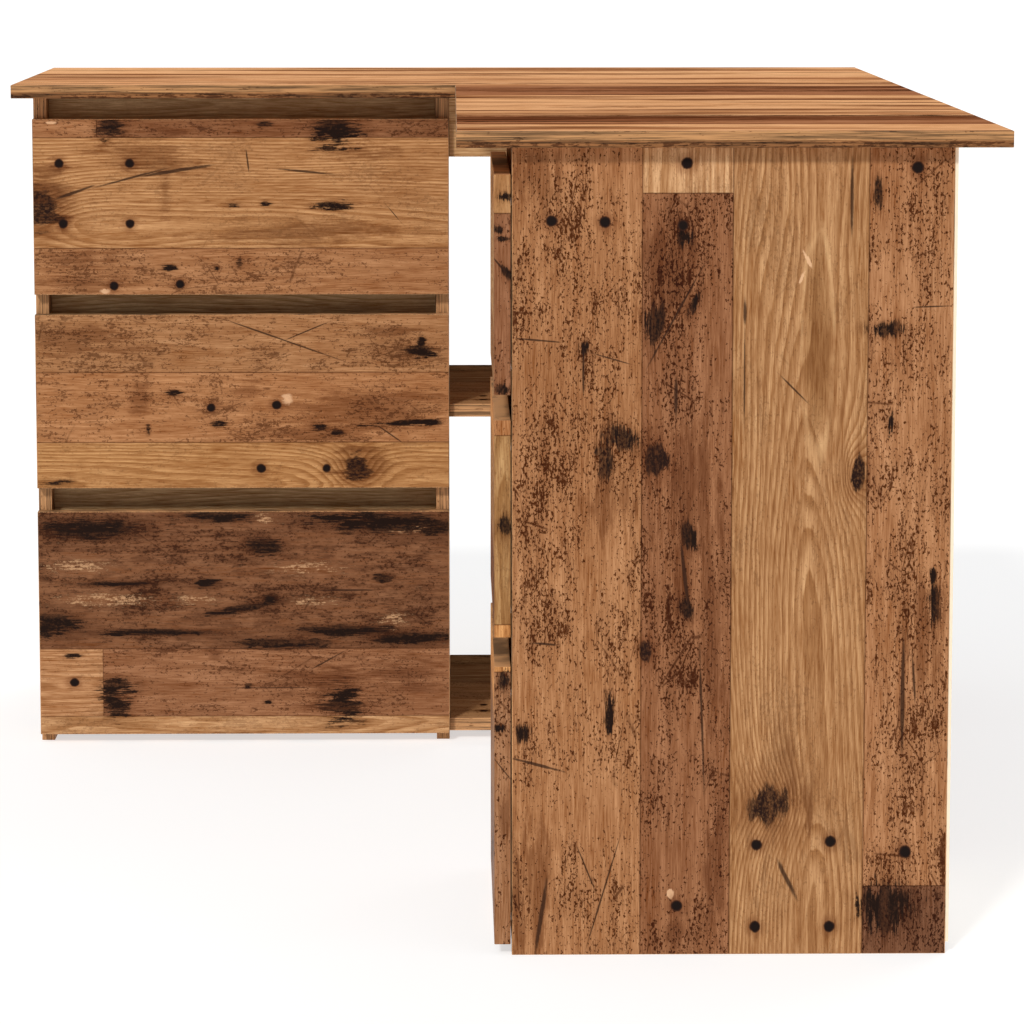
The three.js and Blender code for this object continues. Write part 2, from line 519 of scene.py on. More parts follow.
@dataclass(frozen=True)
class Noises:
    """The noise fields that a decor's layers share, all round 0.5."""

    bend: Shade
    streak: Shade
    fibre: Shade
    cloud: Shade
    speck: Shade
    flaw: Shade

    @classmethod
    def over(cls, net: Net, grain: Shade) -> Noises:
        """Makes the fields.

        Args:
            net: The material's net.
            grain: Place in the plank's grain, in millimetres, along it first.

        Returns:
            The fields, from waves of half a metre to flecks of a few millimetres.
        """
        return cls(
            bend=net.noise(grain, (0.0024, 0.012, 0.012), 1.5),
            streak=net.noise(grain, (0.007, 0.09, 0.09), 3.0, 0.6),
            fibre=net.noise(grain, (0.045, 0.75, 0.75), 3.0, 0.65),
            cloud=net.noise(grain, (0.011, 0.022, 0.022), 4.0, 0.62),
            speck=net.noise(grain, (0.26, 0.42, 0.42), 3.0, 0.7),
            flaw=net.noise(grain, (0.035, 0.11, 0.11), 4.0, 0.68),
        )


@dataclass(frozen=True)
class PlankDecor:
    """The decor of one panel: planks side by side, short pieces, and marks."""

    along: str
    across: str
    planks: tuple[Plank, ...]
    shorts: tuple[Short, ...] = ()
    spots: tuple[Spot, ...] = ()
    seed: float = 0.0
    seam: float = 0.75
    lean: float = 0.03
    roughness: float = 0.5
    gloss: float = 0.06
    streaks: bool = False

    @property
    def _rows(self) -> list[Plank]:
        """The long planks and then the short ones, in the order of their indices."""
        return [*self.planks, *(short.plank for short in self.shorts)]

    def material(self, name: str, low: Vector) -> bpy.types.Material:
        """Makes the decor's material.

        Args:
            name: The material's name.
            low: The panel's lowest corner, in metres.

        Returns:
            The material.
        """
        net = Net(name)
        place = net.place() - tuple(x / MM for x in low)
        parts = net.add("ShaderNodeSeparateXYZ", {}, {0: place})
        along, across = parts.output(self.along), parts.output(self.across)
        through = parts.output(next(axis for axis in AXES if axis not in (self.along, self.across)))
        index, seam = self._index(along, across)
        tone = net.pick(index, [(*paint(*plank.tone), 1.0) for plank in self._rows])
        traits = net.pick(index, [plank.wood.value for plank in self._rows])
        trait = net.add("ShaderNodeSeparateColor", {}, {0: traits})
        ringing, pitting, clouding, wear = trait, trait.output(1), trait.output(2), traits.output("Alpha")

        # Each plank reads the noise at a place of its own, so that nothing runs on across a joint.
        flat = net.vector(along, across)
        grain = net.vector(along + index * 731.0, across + index * 190.0, through + self.seed * 57.0)
        noises = Noises.over(net, grain)
        streak, fibre, cloud = noises.streak, noises.fibre, noises.cloud
        knots = self._nearest(flat, Mark.KNOT)
        rings = self._rings(index, (along, across), noises, knots) * ringing
        shift = (streak - 0.5) * 0.9 + (fibre - 0.5) * 1.3 + (cloud - 0.5) * 0.6
        layers = Layers(net, tone * (shift * (1.1, 1.5, 1.9) + 1.0).most(0.08))
        layers.darken(rings, Tint.RING)
        if self.streaks:
            self._streak(layers, grain, streak)
        layers.darken(cloud.rise(0.47, 0.68) * clouding * 0.7, Tint.CLOUD)
        harm = self._harm(layers, flat, grain, noises, pitting) * pitting
        layers.darken(harm, Tint.PIT)
        self._weather(layers, flat, noises, wear)
        self._mark(layers, flat, noises, knots)
        joint = (seam + (noises.flaw - 0.5) * 1.2).rise(1.0, 0.2) * self.seam
        layers.darken(joint, Tint.JOINT)
        roughness = (streak - 0.5) * 0.15 + (fibre - 0.5) * 0.1 + self.roughness
        relief = fibre * 0.5 + rings * 0.3 - harm * 0.5
        return net.surface(layers.colour, roughness, relief, 0.05, specular_ior_level=self.gloss)

    def _rings(self, index: Shade, at: tuple[Shade, Shade], noises: Noises, knots: Shade | None) -> Shade:
        """Growth rings, which arch round each plank's pith line and bend round the knots.

        Args:
            index: Which plank a point is on.
            at: Millimetres along and across.
            noises: The noise fields.
            knots: Distance to the nearest knot, if there is one.

        Returns:
            1 in the dark part of a ring, else 0.
        """
        net, (along, across), bend = index.net, at, noises.bend
        total = sum(plank.width for plank in self.planks)
        traits = [
            (centre / total, plank.ring / RING_RANGE, plank.lift / LIFT_RANGE, 1.0)
            for centre, plank in zip(self._centres(total), self._rows)
        ]
        grown = net.add("ShaderNodeSeparateColor", {}, {0: net.pick(index, traits)})
        rise = grown.output(2) * LIFT_RANGE + along * self.lean + (bend - 0.5) * 36.0
        aside = across - grown * total
        radius = net.vector(aside, rise).length() + (noises.streak - 0.5) * 3.0 + (bend - 0.5) * 10.0
        if knots is not None:
            radius = radius + 24.0 / (1.0 + knots * knots * 0.35)
        ring = (radius / (grown.output(1) * RING_RANGE)).alone("FRACT")
        return ring.rise(0.2, 0.85) * ring.rise(1.0, 0.9) * (noises.streak.rise(0.3, 0.6) * 0.6 + 0.4)

    @staticmethod
    def _streak(layers: Layers, grain: Shade, streak: Shade) -> None:
        """Puts long soft-edged dark streaks on the planks.

        Args:
            layers: The surface's colour.
            grain: Place in the plank's grain, in millimetres.
            streak: Streaky noise.
        """
        broad = layers.net.noise(grain, (0.0012, 0.018, 0.018), 2.0, 0.45)
        narrow = layers.net.noise(grain, (0.0026, 0.062, 0.062), 2.0, 0.5)
        layers.darken(broad.rise(0.48, 0.64) * 0.8, Tint.BROAD_STREAK)
        layers.darken((narrow + (broad - streak) * 0.3).rise(0.535, 0.62) * 0.82, Tint.DEEP_STREAK)

    def _harm(self, layers: Layers, flat: Shade, grain: Shade, noises: Noises, pitting: Shade) -> Shade:
        """Where the planks are pitted, bruised, cracked along the grain or scratched.

        Args:
            layers: The surface's colour, which is darkened a little where pits crowd.
            flat: Place along and across, in millimetres.
            grain: Place in the plank's grain, in millimetres.
            noises: The noise fields.
            pitting: How strongly the plank shows pits.

        Returns:
            1 on such a place, else 0.
        """
        streak, cloud, flaw = noises.streak, noises.cloud, noises.flaw
        pits = noises.speck + (cloud - 0.5) * 0.45 + (flaw - 0.5) * 0.35 + pitting * 0.022
        if (dense := self._nearest(flat, Mark.PITS)) is not None:
            crowd = (dense + (cloud - 0.5) * 1.5).rise(1.2, 0.4)
            layers.darken(crowd * 0.35, Tint.CROWDED)
            pits = pits + crowd * 0.035
        pits = pits.rise(0.595, 0.625)
        bruises = (flaw + (cloud - 0.5) * 0.5).rise(0.63, 0.69)
        lines = abs(streak - 0.5).rise(0.008, 0.001) * (flaw + cloud).rise(0.95, 1.1)
        scratches = self._scratches(layers.net, grain) * cloud.rise(0.5, 0.6)
        return pits.most(bruises * 0.8).most(lines * 0.8).most(scratches * 0.8)

    def _weather(self, layers: Layers, flat: Shade, noises: Noises, wear: Shade) -> None:
        """Mottles the weathered planks and wears their paint off in pale flecks.

        Args:
            layers: The surface's colour.
            flat: Place along and across, in millimetres.
            noises: The noise fields.
            wear: How weathered the plank is.
        """
        fibre, speck, flaw = noises.fibre, noises.speck, noises.flaw
        mottle = (speck * 0.1 + flaw * 0.3 + noises.streak * 0.25 + fibre * 0.35).rise(0.45, 0.55)
        layers.darken(mottle * wear * 0.75, Tint.MOTTLE)
        if (worn := self._nearest(flat, Mark.WORN)) is not None:
            near = worn.rise(1.3, 0.2)
            flecks = (fibre * 0.35 + speck * 0.4 + flaw * 0.25 + near * 0.1).rise(0.575, 0.66)
            layers.cover(flecks * (near * 0.6 + 0.2) * wear, Ink.WORN)

    @staticmethod
    def _scratches(net: Net, grain: Shade) -> Shade:
        """Thin crooked scratches: the borders of large uneven cells.

        Args:
            net: The material's net.
            grain: Place in the plank's grain, in millimetres.

        Returns:
            1 on a scratch, else 0.
        """
        inputs = {"Vector": grain * (0.008, 0.019, 0.019), "Scale": 1.0, "Randomness": 1.0}
        settings = {"feature": "DISTANCE_TO_EDGE", "voronoi_dimensions": "3D"}
        return net.add("ShaderNodeTexVoronoi", settings, inputs, "Distance").rise(0.012, 0.003)

    def _index(self, along: Shade, across: Shade) -> tuple[Shade, Shade]:
        """Which plank a point is on, and how far it is from the nearest joint.

        Args:
            along: Millimetres along the planks.
            across: Millimetres across them.

        Returns:
            The plank's index, with the short ones after the long ones, and the distance.
        """
        edge = 0.0
        index, seam = across * 0.0, across * 0.0 + 1000.0
        for plank in self.planks[:-1]:
            edge += plank.width
            index = index + (across > edge)
            seam = seam.least(abs(across - edge))
        for count, short in enumerate(self.shorts):
            beyond = [
                abs(value - (ends[0] + ends[1]) / 2) - (ends[1] - ends[0]) / 2
                for value, ends in ((along, short.along), (across, short.across))
            ]
            outside = beyond[0].most(beyond[1])
            index = index + (outside < 0.0) * (len(self.planks) + count - index)
            seam = seam.least(abs(outside))
        return index, seam

    def _centres(self, total: float) -> list[float]:
        """Where each plank's pith line runs across the panel, in millimetres.

        Args:
            total: The panel's width.

        Returns:
            One place for each long plank and then each short one, kept within the panel.
        """
        found, edge = [], 0.0
        for plank in self.planks:
            found.append(edge + plank.width * plank.pith)
            edge += plank.width
        found += [s.across[0] + (s.across[1] - s.across[0]) * s.plank.pith for s in self.shorts]
        return [min(max(place, 0.0), total) for place in found]

    def _nearest(self, flat: Shade, mark: Mark) -> Shade | None:
        """Distance to the nearest spot of a kind, counted in that spot's half sizes.

        Args:
            flat: Place along and across, in millimetres.
            mark: The kind.

        Returns:
            The distance, or nothing where the panel has no such spot.
        """
        found = None
        for spot in (spot for spot in self.spots if spot.mark is mark):
            turn = math.radians(spot.turn)
            ways = (
                Vector((math.cos(turn), math.sin(turn), 0)) * (2 / spot.length),
                Vector((-math.sin(turn), math.cos(turn), 0)) * (2 / spot.width),
            )
            centre = Vector((spot.along, spot.across, 0))
            away = flat.net.vector(*(flat.dot(tuple(way)) - way.dot(centre) for way in ways)).length()
            found = away if found is None else found.least(away)
        return found

    def _mark(self, layers: Layers, flat: Shade, noises: Noises, knots: Shade | None) -> None:
        """Puts the stains, knots, blackened patches, hearts, cracks, chips and nail holes on.

        Args:
            layers: The surface's colour.
            flat: Place along and across, in millimetres.
            noises: The noise fields.
            knots: Distance to the nearest knot, if there is one.
        """
        streak, speck = noises.streak - 0.5, noises.speck - 0.5
        crumbled = (noises.cloud - 0.5) * 0.8 + (noises.flaw - 0.5) * 3.2 + speck * 1.4
        ragged = crumbled + streak * 2.6
        if (stains := self._nearest(flat, Mark.STAIN)) is not None:
            layers.darken((stains + ragged).rise(1.15, 0.35) * 0.6, Tint.STAIN)
        if knots is not None:
            edge = knots + ragged * 0.6
            layers.darken(edge.rise(2.6, 0.7) * 0.65, Tint.KNOT_HALO)
            layers.cover(edge.rise(1.1, 0.75) * (speck * 2.0 + streak * 1.5 + 0.9).least(1.0), Ink.KNOT)
        if (char := self._nearest(flat, Mark.CHAR)) is not None:
            edge = char + crumbled + streak * 1.1 + (noises.fibre - 0.5) * 2.2
            layers.darken(edge.rise(2.0, 0.9) * 0.45, Tint.CHAR_HALO)
            layers.cover(edge.rise(1.15, 0.75) * (streak * 2.0 + speck * 1.4 + 1.0).least(1.0), Ink.CHAR)
        if (hearts := self._nearest(flat, Mark.HEART)) is not None:
            edge = hearts + streak * 0.3
            layers.darken(edge.rise(1.1, 0.7) * 0.7, Tint.HEART)
            rim = abs(edge - 1.1).rise(0.2, 0.03) * (noises.cloud.rise(0.4, 0.6) * 0.4 + 0.05)
            layers.cover(rim, Ink.HEART_RIM)
        if (cracks := self._nearest(flat, Mark.CRACK)) is not None:
            layers.cover((cracks + ragged * 0.35).rise(1.15, 0.5) * 0.85, Ink.CRACK)
        if (chips := self._nearest(flat, Mark.CHIP)) is not None:
            layers.cover((chips + ragged * 0.7).rise(1.1, 0.6) * 0.7, Ink.CHIP)
        if (nails := self._nearest(flat, Mark.NAIL)) is not None:
            layers.darken((nails + ragged * 0.9).rise(2.4, 0.9) * 0.5, Tint.NAIL_HALO)
            hole = nails + ragged * 0.16
            layers.cover(hole.rise(1.1, 0.8), Ink.NAIL_RIM)
            layers.cover(hole.rise(0.9, 0.6), Ink.NAIL_HOLE)


def random_decor(
    along: str,
    across: str,
    width: float,
    length: float,
    seed: int,
    woods: Sequence[tuple[Wood, Colour]],
) -> PlankDecor:
    """A decor of the same kind for a panel whose planks may fall as they like.

    Args:
        along: Axis along the planks.
        across: Axis across them.
        width: The panel's size across, in millimetres.
        length: The panel's size along, in millimetres.
        seed: Start of the random draws.
        woods: Kinds and tones to draw from.

    Returns:
        The decor.
    """
    draw = random.Random(seed)
    planks, spots, edge = [], [], 0.0
    while edge < width - 1:
        size = min(draw.uniform(58, 135), width - edge)
        if width - edge - size < NARROWEST_PLANK:
            size = width - edge
        wood, tone = draw.choice(woods)
        shift = draw.uniform(0.92, 1.08)
        tone = tuple(channel * shift for channel in tone)
        planks.append(Plank(size, wood, tone, draw.random(), draw.uniform(3.6, 6.5)))
        centre = edge + size / 2
        if size > NARROWEST_NAILED and draw.random() < 0.75:
            start = draw.uniform(25, 90)
            spots += [Spot(Mark.NAIL, start, centre + side * size * 0.27) for side in (-1, 1)]
        if draw.random() < 0.5:
            knot = draw.uniform(14, 26)
            at = (draw.uniform(0.15, 0.9) * length, centre + draw.uniform(-0.25, 0.25) * size)
            spots.append(Spot(Mark.KNOT, *at, knot, knot * 0.85))
        if wood is not Wood.PINE and draw.random() < 0.4:
            at = (draw.uniform(0.1, 0.9) * length, centre)
            spots.append(Spot(Mark.CHAR, *at, draw.uniform(20, 45), draw.uniform(15, 30)))
        edge += size
    return PlankDecor(along, across, tuple(planks), spots=tuple(spots), seed=float(seed))


@dataclass(frozen=True)
class EdgeBand:
    """The printed band on a board's edges: fine lines along it, with dark flecks.

    Below a given height, in millimetres, it is darker, with a dark line at that height; 0 leaves it even.
    """

    name: str
    upright: bool = False
    tone: Colour = (188, 140, 96)
    roughness: float = 0.5
    darker_below: float = 0.0

    def material(self) -> bpy.types.Material:
        """Makes the band's material."""
        net = Net(self.name)
        place = net.place()
        fine, long = 0.6, 0.012
        steps = (fine, fine, long) if self.upright else (long, long, fine)
        lines = net.noise(place, steps, 3.0, 0.7)
        spread = (0.45, 0.45, 0.1) if self.upright else (0.1, 0.1, 0.45)
        flecks = net.noise(place, spread, 4.0, 0.72)
        broad = net.noise(place, tuple(step / 6 for step in spread), 2.0)
        shade = net.mix(lines.rise(0.36, 0.62), shaded(self.tone, 0.58), shaded(self.tone, 1.06))
        layers = Layers(net, shade)
        fleck_field = flecks + (broad - 0.5) * 0.3
        # Darker towards the foot of the band, with a dark line at the given height.
        if self.darker_below:
            height = net.add("ShaderNodeSeparateXYZ", {}, {0: place}, "Z")
            low = (height + (flecks - 0.5) * 8.0).rise(self.darker_below + 1.2, self.darker_below - 1.2)
            line = abs(height + (broad - 0.5) * 1.5 - self.darker_below).rise(0.9, 0.3)
            layers.darken((low * 0.8).most(line * 0.6), Tint.DARK_FOOT)
            fleck_field = fleck_field + low * 0.12
        layers.darken(fleck_field.rise(0.61, 0.67) * 0.85, Tint.BAND_FLECK)
        rough = (lines - 0.5) * 0.2 + self.roughness
        return net.surface(layers.colour, rough, lines, 0.03, specular_ior_level=0.1)


@dataclass(frozen=True)
class Foil:
    """The plain pale wood-grain foil on the drawer boxes."""

    tone: Colour = (222, 205, 176)

    def material(self) -> bpy.types.Material:
        """Makes the foil's material."""
        net = Net("drawer_foil")
        place = net.place()
        grain = net.noise(place, (0.02, 0.02, 0.5), 3.0, 0.6)
        broad = net.noise(place, (0.004, 0.004, 0.05), 2.0)
        share = grain.rise(0.3, 0.7) * 0.6 + broad.rise(0.35, 0.65) * 0.4
        colour = net.mix(share, shaded(self.tone, 0.88), paint(*self.tone))
        return net.surface(colour, grain * 0.2 + 0.45, grain, 0.03, specular_ior_level=0.35)


@dataclass(frozen=True)
class Hardboard:
    """Pale lacquered hardboard with a faint mottle."""

    tone: Colour = (246, 226, 198)

    def material(self) -> bpy.types.Material:
        """Makes the hardboard's material."""
        net = Net("hardboard")
        place = net.place()
        mottle = net.noise(place, (0.12, 0.12, 0.12), 4.0, 0.7)
        fluff = net.noise(place, (0.9, 0.9, 0.9), 2.0, 0.6)
        share = mottle.rise(0.2, 0.8) * 0.5 + fluff * 0.5
        colour = net.mix(share, shaded(self.tone, 0.95), paint(*self.tone))
        return net.surface(colour, fluff * 0.2 + 0.6, fluff, 0.05, specular_ior_level=0.25)


@dataclass(frozen=True)
class Metal:
    """Pressed steel, powder-coated or zinc-plated, with a fine uneven sheen."""

    name: str
    tone: Colour
    metallic: float
    roughness: float

    def material(self) -> bpy.types.Material:
        """Makes the metal's material."""
        net = Net(self.name)
        place = net.place()
        cloud = net.noise(place, (0.15, 0.15, 0.15), 3.0, 0.6)
        grit = net.noise(place, (2.2, 2.2, 2.2), 2.0)
        colour = net.mix(cloud, shaded(self.tone, 0.9), paint(*self.tone))
        rough = (grit - 0.5) * 0.2 + (cloud - 0.5) * 0.15 + self.roughness
        return net.surface(colour, rough, grit, 0.01, metallic=self.metallic)


@dataclass(frozen=True)
class Plastic:
    """Moulded plastic with a slight bloom."""

    name: str
    tone: Colour
    roughness: float = 0.42

    def material(self) -> bpy.types.Material:
        """Makes the plastic's material."""
        net = Net(self.name)
        bloom = net.noise(net.place(), (0.8, 0.8, 0.8), 3.0, 0.6)
        colour = net.mix(bloom.rise(0.3, 0.7), shaded(self.tone, 0.93), paint(*self.tone))
        return net.surface(colour, (bloom - 0.5) * 0.2 + self.roughness, bloom, 0.01)


# ---------------------------------------------------------------------------------------------
# Mesh making
# ---------------------------------------------------------------------------------------------

# Angles between faces, from which an edge is softened, or is shaded as sharp on a round piece.
SOFTENED_FROM = math.radians(30)
SHARP_FROM = math.radians(35)

# The most that the normal of an edge face leans away from level, and the least that a broad face's
# normal follows the board's thickness.
LEVEL_NORMAL = 0.5
BROAD_NORMAL = 0.99


def finished(name: str, mesh: bmesh.types.BMesh, *materials: bpy.types.Material) -> bpy.types.Object:
    """Turns a bmesh into an object in the scene.

    Args:
        name: The object's name.
        mesh: The bmesh, which is freed.
        *materials: Its material slots.

    Returns:
        The object.
    """
    bmesh.ops.recalc_face_normals(mesh, faces=mesh.faces)
    data = bpy.data.meshes.new(name)
    mesh.to_mesh(data)
    mesh.free()
    for material in materials:
        data.materials.append(material)
    made = bpy.data.objects.new(name, data)
    bpy.context.scene.collection.objects.link(made)
    return made


def soften(mesh: bmesh.types.BMesh, arris: float) -> None:
    """Rounds a bmesh's sharp edges.

    Args:
        mesh: The bmesh.
        arris: The rounding's size, in metres.
    """
    sharp = [edge for edge in mesh.edges if edge.calc_face_angle(0.0) > SOFTENED_FROM]
    bmesh.ops.bevel(
        mesh, geom=sharp, offset=arris, segments=2, profile=0.6, affect="EDGES", clamp_overlap=True
    )


def middle(node: str) -> Vector:
    """The middle of a CAD node's box."""
    low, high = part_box(node)
    return (low + high) / 2


def reach(node: str, way: Vector) -> Vector:
    """From the middle of a CAD node's box to its face on one side.

    Args:
        node: The CAD node.
        way: The direction that the face looks in, of length 1 along an axis.

    Returns:
        The step from the middle to the face.
    """
    low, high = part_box(node)
    return way * abs((high - low).dot(way)) / 2


def fitted(piece: bpy.types.Object, body: str, slot: str) -> None:
    """Rides a piece on a body and logs it with the name of a material slot.

    Args:
        piece: The piece.
        body: The CAD body that it moves with.
        slot: The name of the record's material slot, which is only logged.
    """
    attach(piece, body)
    log.info("%s: %s, on %s", slot, piece.name, body)


def board_piece(
    node: str,
    slot: str,
    face: bpy.types.Material,
    level: bpy.types.Material,
    standing: bpy.types.Material,
    arris: float = 0.7 * MM,
) -> None:
    """Makes a board with a CAD node's shape and softened arrises, which stands for the node.

    Args:
        node: The CAD node.
        slot: The board's material slot in the record.
        face: Material of the two broad faces.
        level: Material of the edges that run level.
        standing: Material of the edges that stand up.
        arris: Size of the softening, in metres.
    """
    mesh = bmesh.new()
    mesh.from_mesh(frame["nodes"][node].data)
    bmesh.ops.remove_doubles(mesh, verts=mesh.verts, dist=1e-6)
    bmesh.ops.dissolve_limit(mesh, angle_limit=math.radians(1), verts=mesh.verts, edges=mesh.edges)
    soften(mesh, arris)
    low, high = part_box(node)
    size = high - low
    thin = min(range(3), key=lambda axis: size[axis])
    mesh.normal_update()
    for patch in mesh.faces:
        edge = 2 if thin != 2 and abs(patch.normal.z) < LEVEL_NORMAL else 1
        patch.material_index = 0 if abs(patch.normal[thin]) > BROAD_NORMAL else edge
    made = finished(f"{node}_board", mesh, face, level, standing)
    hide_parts(node)
    fitted(made, frame["nodes"][node]["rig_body"], slot)


def plain_board(node: str, slot: str, material: bpy.types.Material, arris: float) -> None:
    """Makes a board with one finish all over, which stands for a CAD node."""
    board_piece(node, slot, material, material, material, arris)


def _lathe(
    mesh: bmesh.types.BMesh, outline: Outline, start: Vector, axis: Vector, segments: int
) -> None:
    """Adds a round shape, turned from an outline, to a bmesh.

    Args:
        mesh: The bmesh.
        outline: (distance along the axis, radius) pairs in millimetres, from end to end.
        start: Where the axis starts, in metres.
        axis: The axis's direction.
        segments: Steps round it.
    """
    turn = axis.to_track_quat("Z", "Y")
    rings = []
    for along, radius in outline:
        around = range(segments if radius else 1)
        angles = [2 * math.pi * step / segments for step in around]
        points = [Vector((math.cos(a) * radius, math.sin(a) * radius, along)) * MM for a in angles]
        rings.append([mesh.verts.new(start + turn @ point) for point in points])
    for first, second in zip(rings, rings[1:]):
        for step in range(segments):
            following = (step + 1) % segments
            corners = [first[step % len(first)], first[following % len(first)]]
            corners += [second[following % len(second)], second[step % len(second)]]
            mesh.faces.new(list(dict.fromkeys(corners)))
    for ring in (rings[0], rings[-1]):
        if len(ring) > 2:
            mesh.faces.new(ring)


def studded(
    name: str,
    outline: Outline,
    places: Iterable[tuple[Vector, Vector]],
    material: bpy.types.Material,
    segments: int = 20,
) -> bpy.types.Object:
    """Equal round pieces, such as screw heads, as one object.

    Args:
        name: The object's name.
        outline: (distance along the axis, radius) pairs in millimetres, from end to end.
        places: Each piece's start, in metres, and its axis.
        material: Their material.
        segments: Steps round each.

    Returns:
        The object.
    """
    mesh = bmesh.new()
    for start, axis in places:
        _lathe(mesh, outline, start, axis, segments)
    made = finished(name, mesh, material)
    made.data.shade_smooth()
    made.data.set_sharp_from_angle(angle=SHARP_FROM)
    return made


def drawn(
    name: str,
    outline: Sequence[Vector],
    along: Vector,
    material: bpy.types.Material,
    arris: float = 0.2 * MM,
) -> bpy.types.Object:
    """A straight piece with an even section.

    Args:
        name: The piece's name.
        outline: The section's corners at the piece's start, in metres.
        along: From start to end.
        material: The piece's material.
        arris: Size of the softening, in metres.

    Returns:
        The piece.
    """
    mesh = bmesh.new()
    ends = [[mesh.verts.new(corner + shift) for corner in outline] for shift in (Vector(), along)]
    mesh.faces.new(ends[0])
    mesh.faces.new(list(reversed(ends[1])))
    for count in range(len(outline)):
        following = (count + 1) % len(outline)
        mesh.faces.new((ends[0][count], ends[1][count], ends[1][following], ends[0][following]))
    bmesh.ops.recalc_face_normals(mesh, faces=mesh.faces)
    soften(mesh, arris)
    return finished(name, mesh, material)


# ---------------------------------------------------------------------------------------------
# The desk
# ---------------------------------------------------------------------------------------------

# Outlines of turned fittings: distances along the axis from the surface that they sit in, and radii.
NAIL_HEAD = ((-0.4, 2.0), (0.25, 2.0), (0.5, 1.4), (0.55, 0))
SCREW_HEAD = ((-0.6, 1.6), (0, 3.4), (0.5, 3.3), (1.1, 2.2), (1.2, 1.1), (0.7, 0.9), (0.7, 0))
CAM = ((-0.4, 7.4), (0.3, 7.4), (0.6, 7.0), (0.6, 2.6), (0.1, 2.2), (0.1, 0))
CAM_CAP = ((-0.3, 8.5), (0.5, 8.5), (1.0, 7.9), (1.3, 6.0), (1.4, 0))
BUFFER = ((-0.3, 4.0), (0.5, 4.0), (0.85, 3.2), (0.9, 0))

# Corners of the drawer member's section, from the upright's face and above the channel's foot.
MEMBER_SECTION = (
    (22.5, -1.0), (11.5, -1.0), (11.5, 16.6), (2.5, 16.6),
    (2.5, 17.6), (12.4, 17.6), (12.4, -0.05), (22.5, -0.05),
)

PINE = (174, 127, 85)
LIGHT_PINE = (181, 136, 94)
TAN = (157, 110, 71)
BROWN = (143, 97, 64)
RED_BROWN = (132, 85, 56)
OLIVE = (196, 158, 114)

PANEL_WOODS = (
    (Wood.PINE, PINE),
    (Wood.PINE, LIGHT_PINE),
    (Wood.BROWN, TAN),
    (Wood.PITTED, BROWN),
    (Wood.PITTED, RED_BROWN),
)
INSIDE_WOODS = ((Wood.PINE, TAN), (Wood.BROWN, TAN), (Wood.BROWN, BROWN))
RAIL_DECOR = {"planks": (Plank(400, Wood.SHADED, OLIVE, 0.1, 3.0, 20.0),), "lean": 0.01}


class Finishes:
    """The materials that several pieces share."""

    def __init__(self) -> None:
        """Makes the materials."""
        self.level_band = EdgeBand("level_band").material()
        self.upright_band = EdgeBand("upright_band", upright=True).material()
        self.foil = Foil().material()
        self.hardboard = Hardboard().material()
        self.steel = Metal("runner_steel", (226, 226, 222), metallic=0.25, roughness=0.38).material()
        self.zinc = Metal("zinc_plate", (190, 190, 188), metallic=0.9, roughness=0.32).material()
        self.nylon = Plastic("roller_nylon", (236, 234, 226)).material()
        self.cap = Plastic("cap_plastic", (150, 108, 72)).material()


def long_axes(node: str, upright: bool) -> tuple[str, str]:
    """Which axes run along and across a board's planks.

    Args:
        node: The board's CAD node.
        upright: Whether the planks stand up.

    Returns:
        The two axes' letters.
    """
    low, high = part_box(node)
    order = sorted(range(3), key=lambda axis: low[axis] - high[axis])[:2]
    if upright:
        order = [2, next(axis for axis in order if axis != 2)]
    return AXES[order[0]], AXES[order[1]]


def decorated(
    node: str,
    finishes: Finishes,
    decor: PlankDecor | None = None,
    edge: PlankDecor | None = None,
    seed: int = 0,
) -> None:
    """Makes a board of the carcass or a drawer front, with a decor of its own or a random one.

    Args:
        node: The board's CAD node.
        finishes: The shared materials.
        decor: Its decor, or nothing for a random one.
        edge: The decor of its standing edges, or nothing for the usual band.
        seed: Start of a random decor.
    """
    low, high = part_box(node)
    upright = node.endswith("_upright")
    along, across = long_axes(node, upright)
    if decor is None and node.endswith("_rail"):
        decor = PlankDecor(along, across, seed=float(seed), **RAIL_DECOR)
    elif decor is None:
        sizes = dict(zip(AXES, (high - low) / MM))
        woods = PANEL_WOODS if upright else INSIDE_WOODS
        decor = random_decor(along, across, sizes[across], sizes[along], seed, woods)
    standing = edge.material(f"{node}_edge_decor", low) if edge else finishes.upright_band
    slot = "panel" if upright else "front" if node.endswith("_front") else "inside"
    board_piece(node, slot, decor.material(f"{node}_decor", low), finishes.level_band, standing)


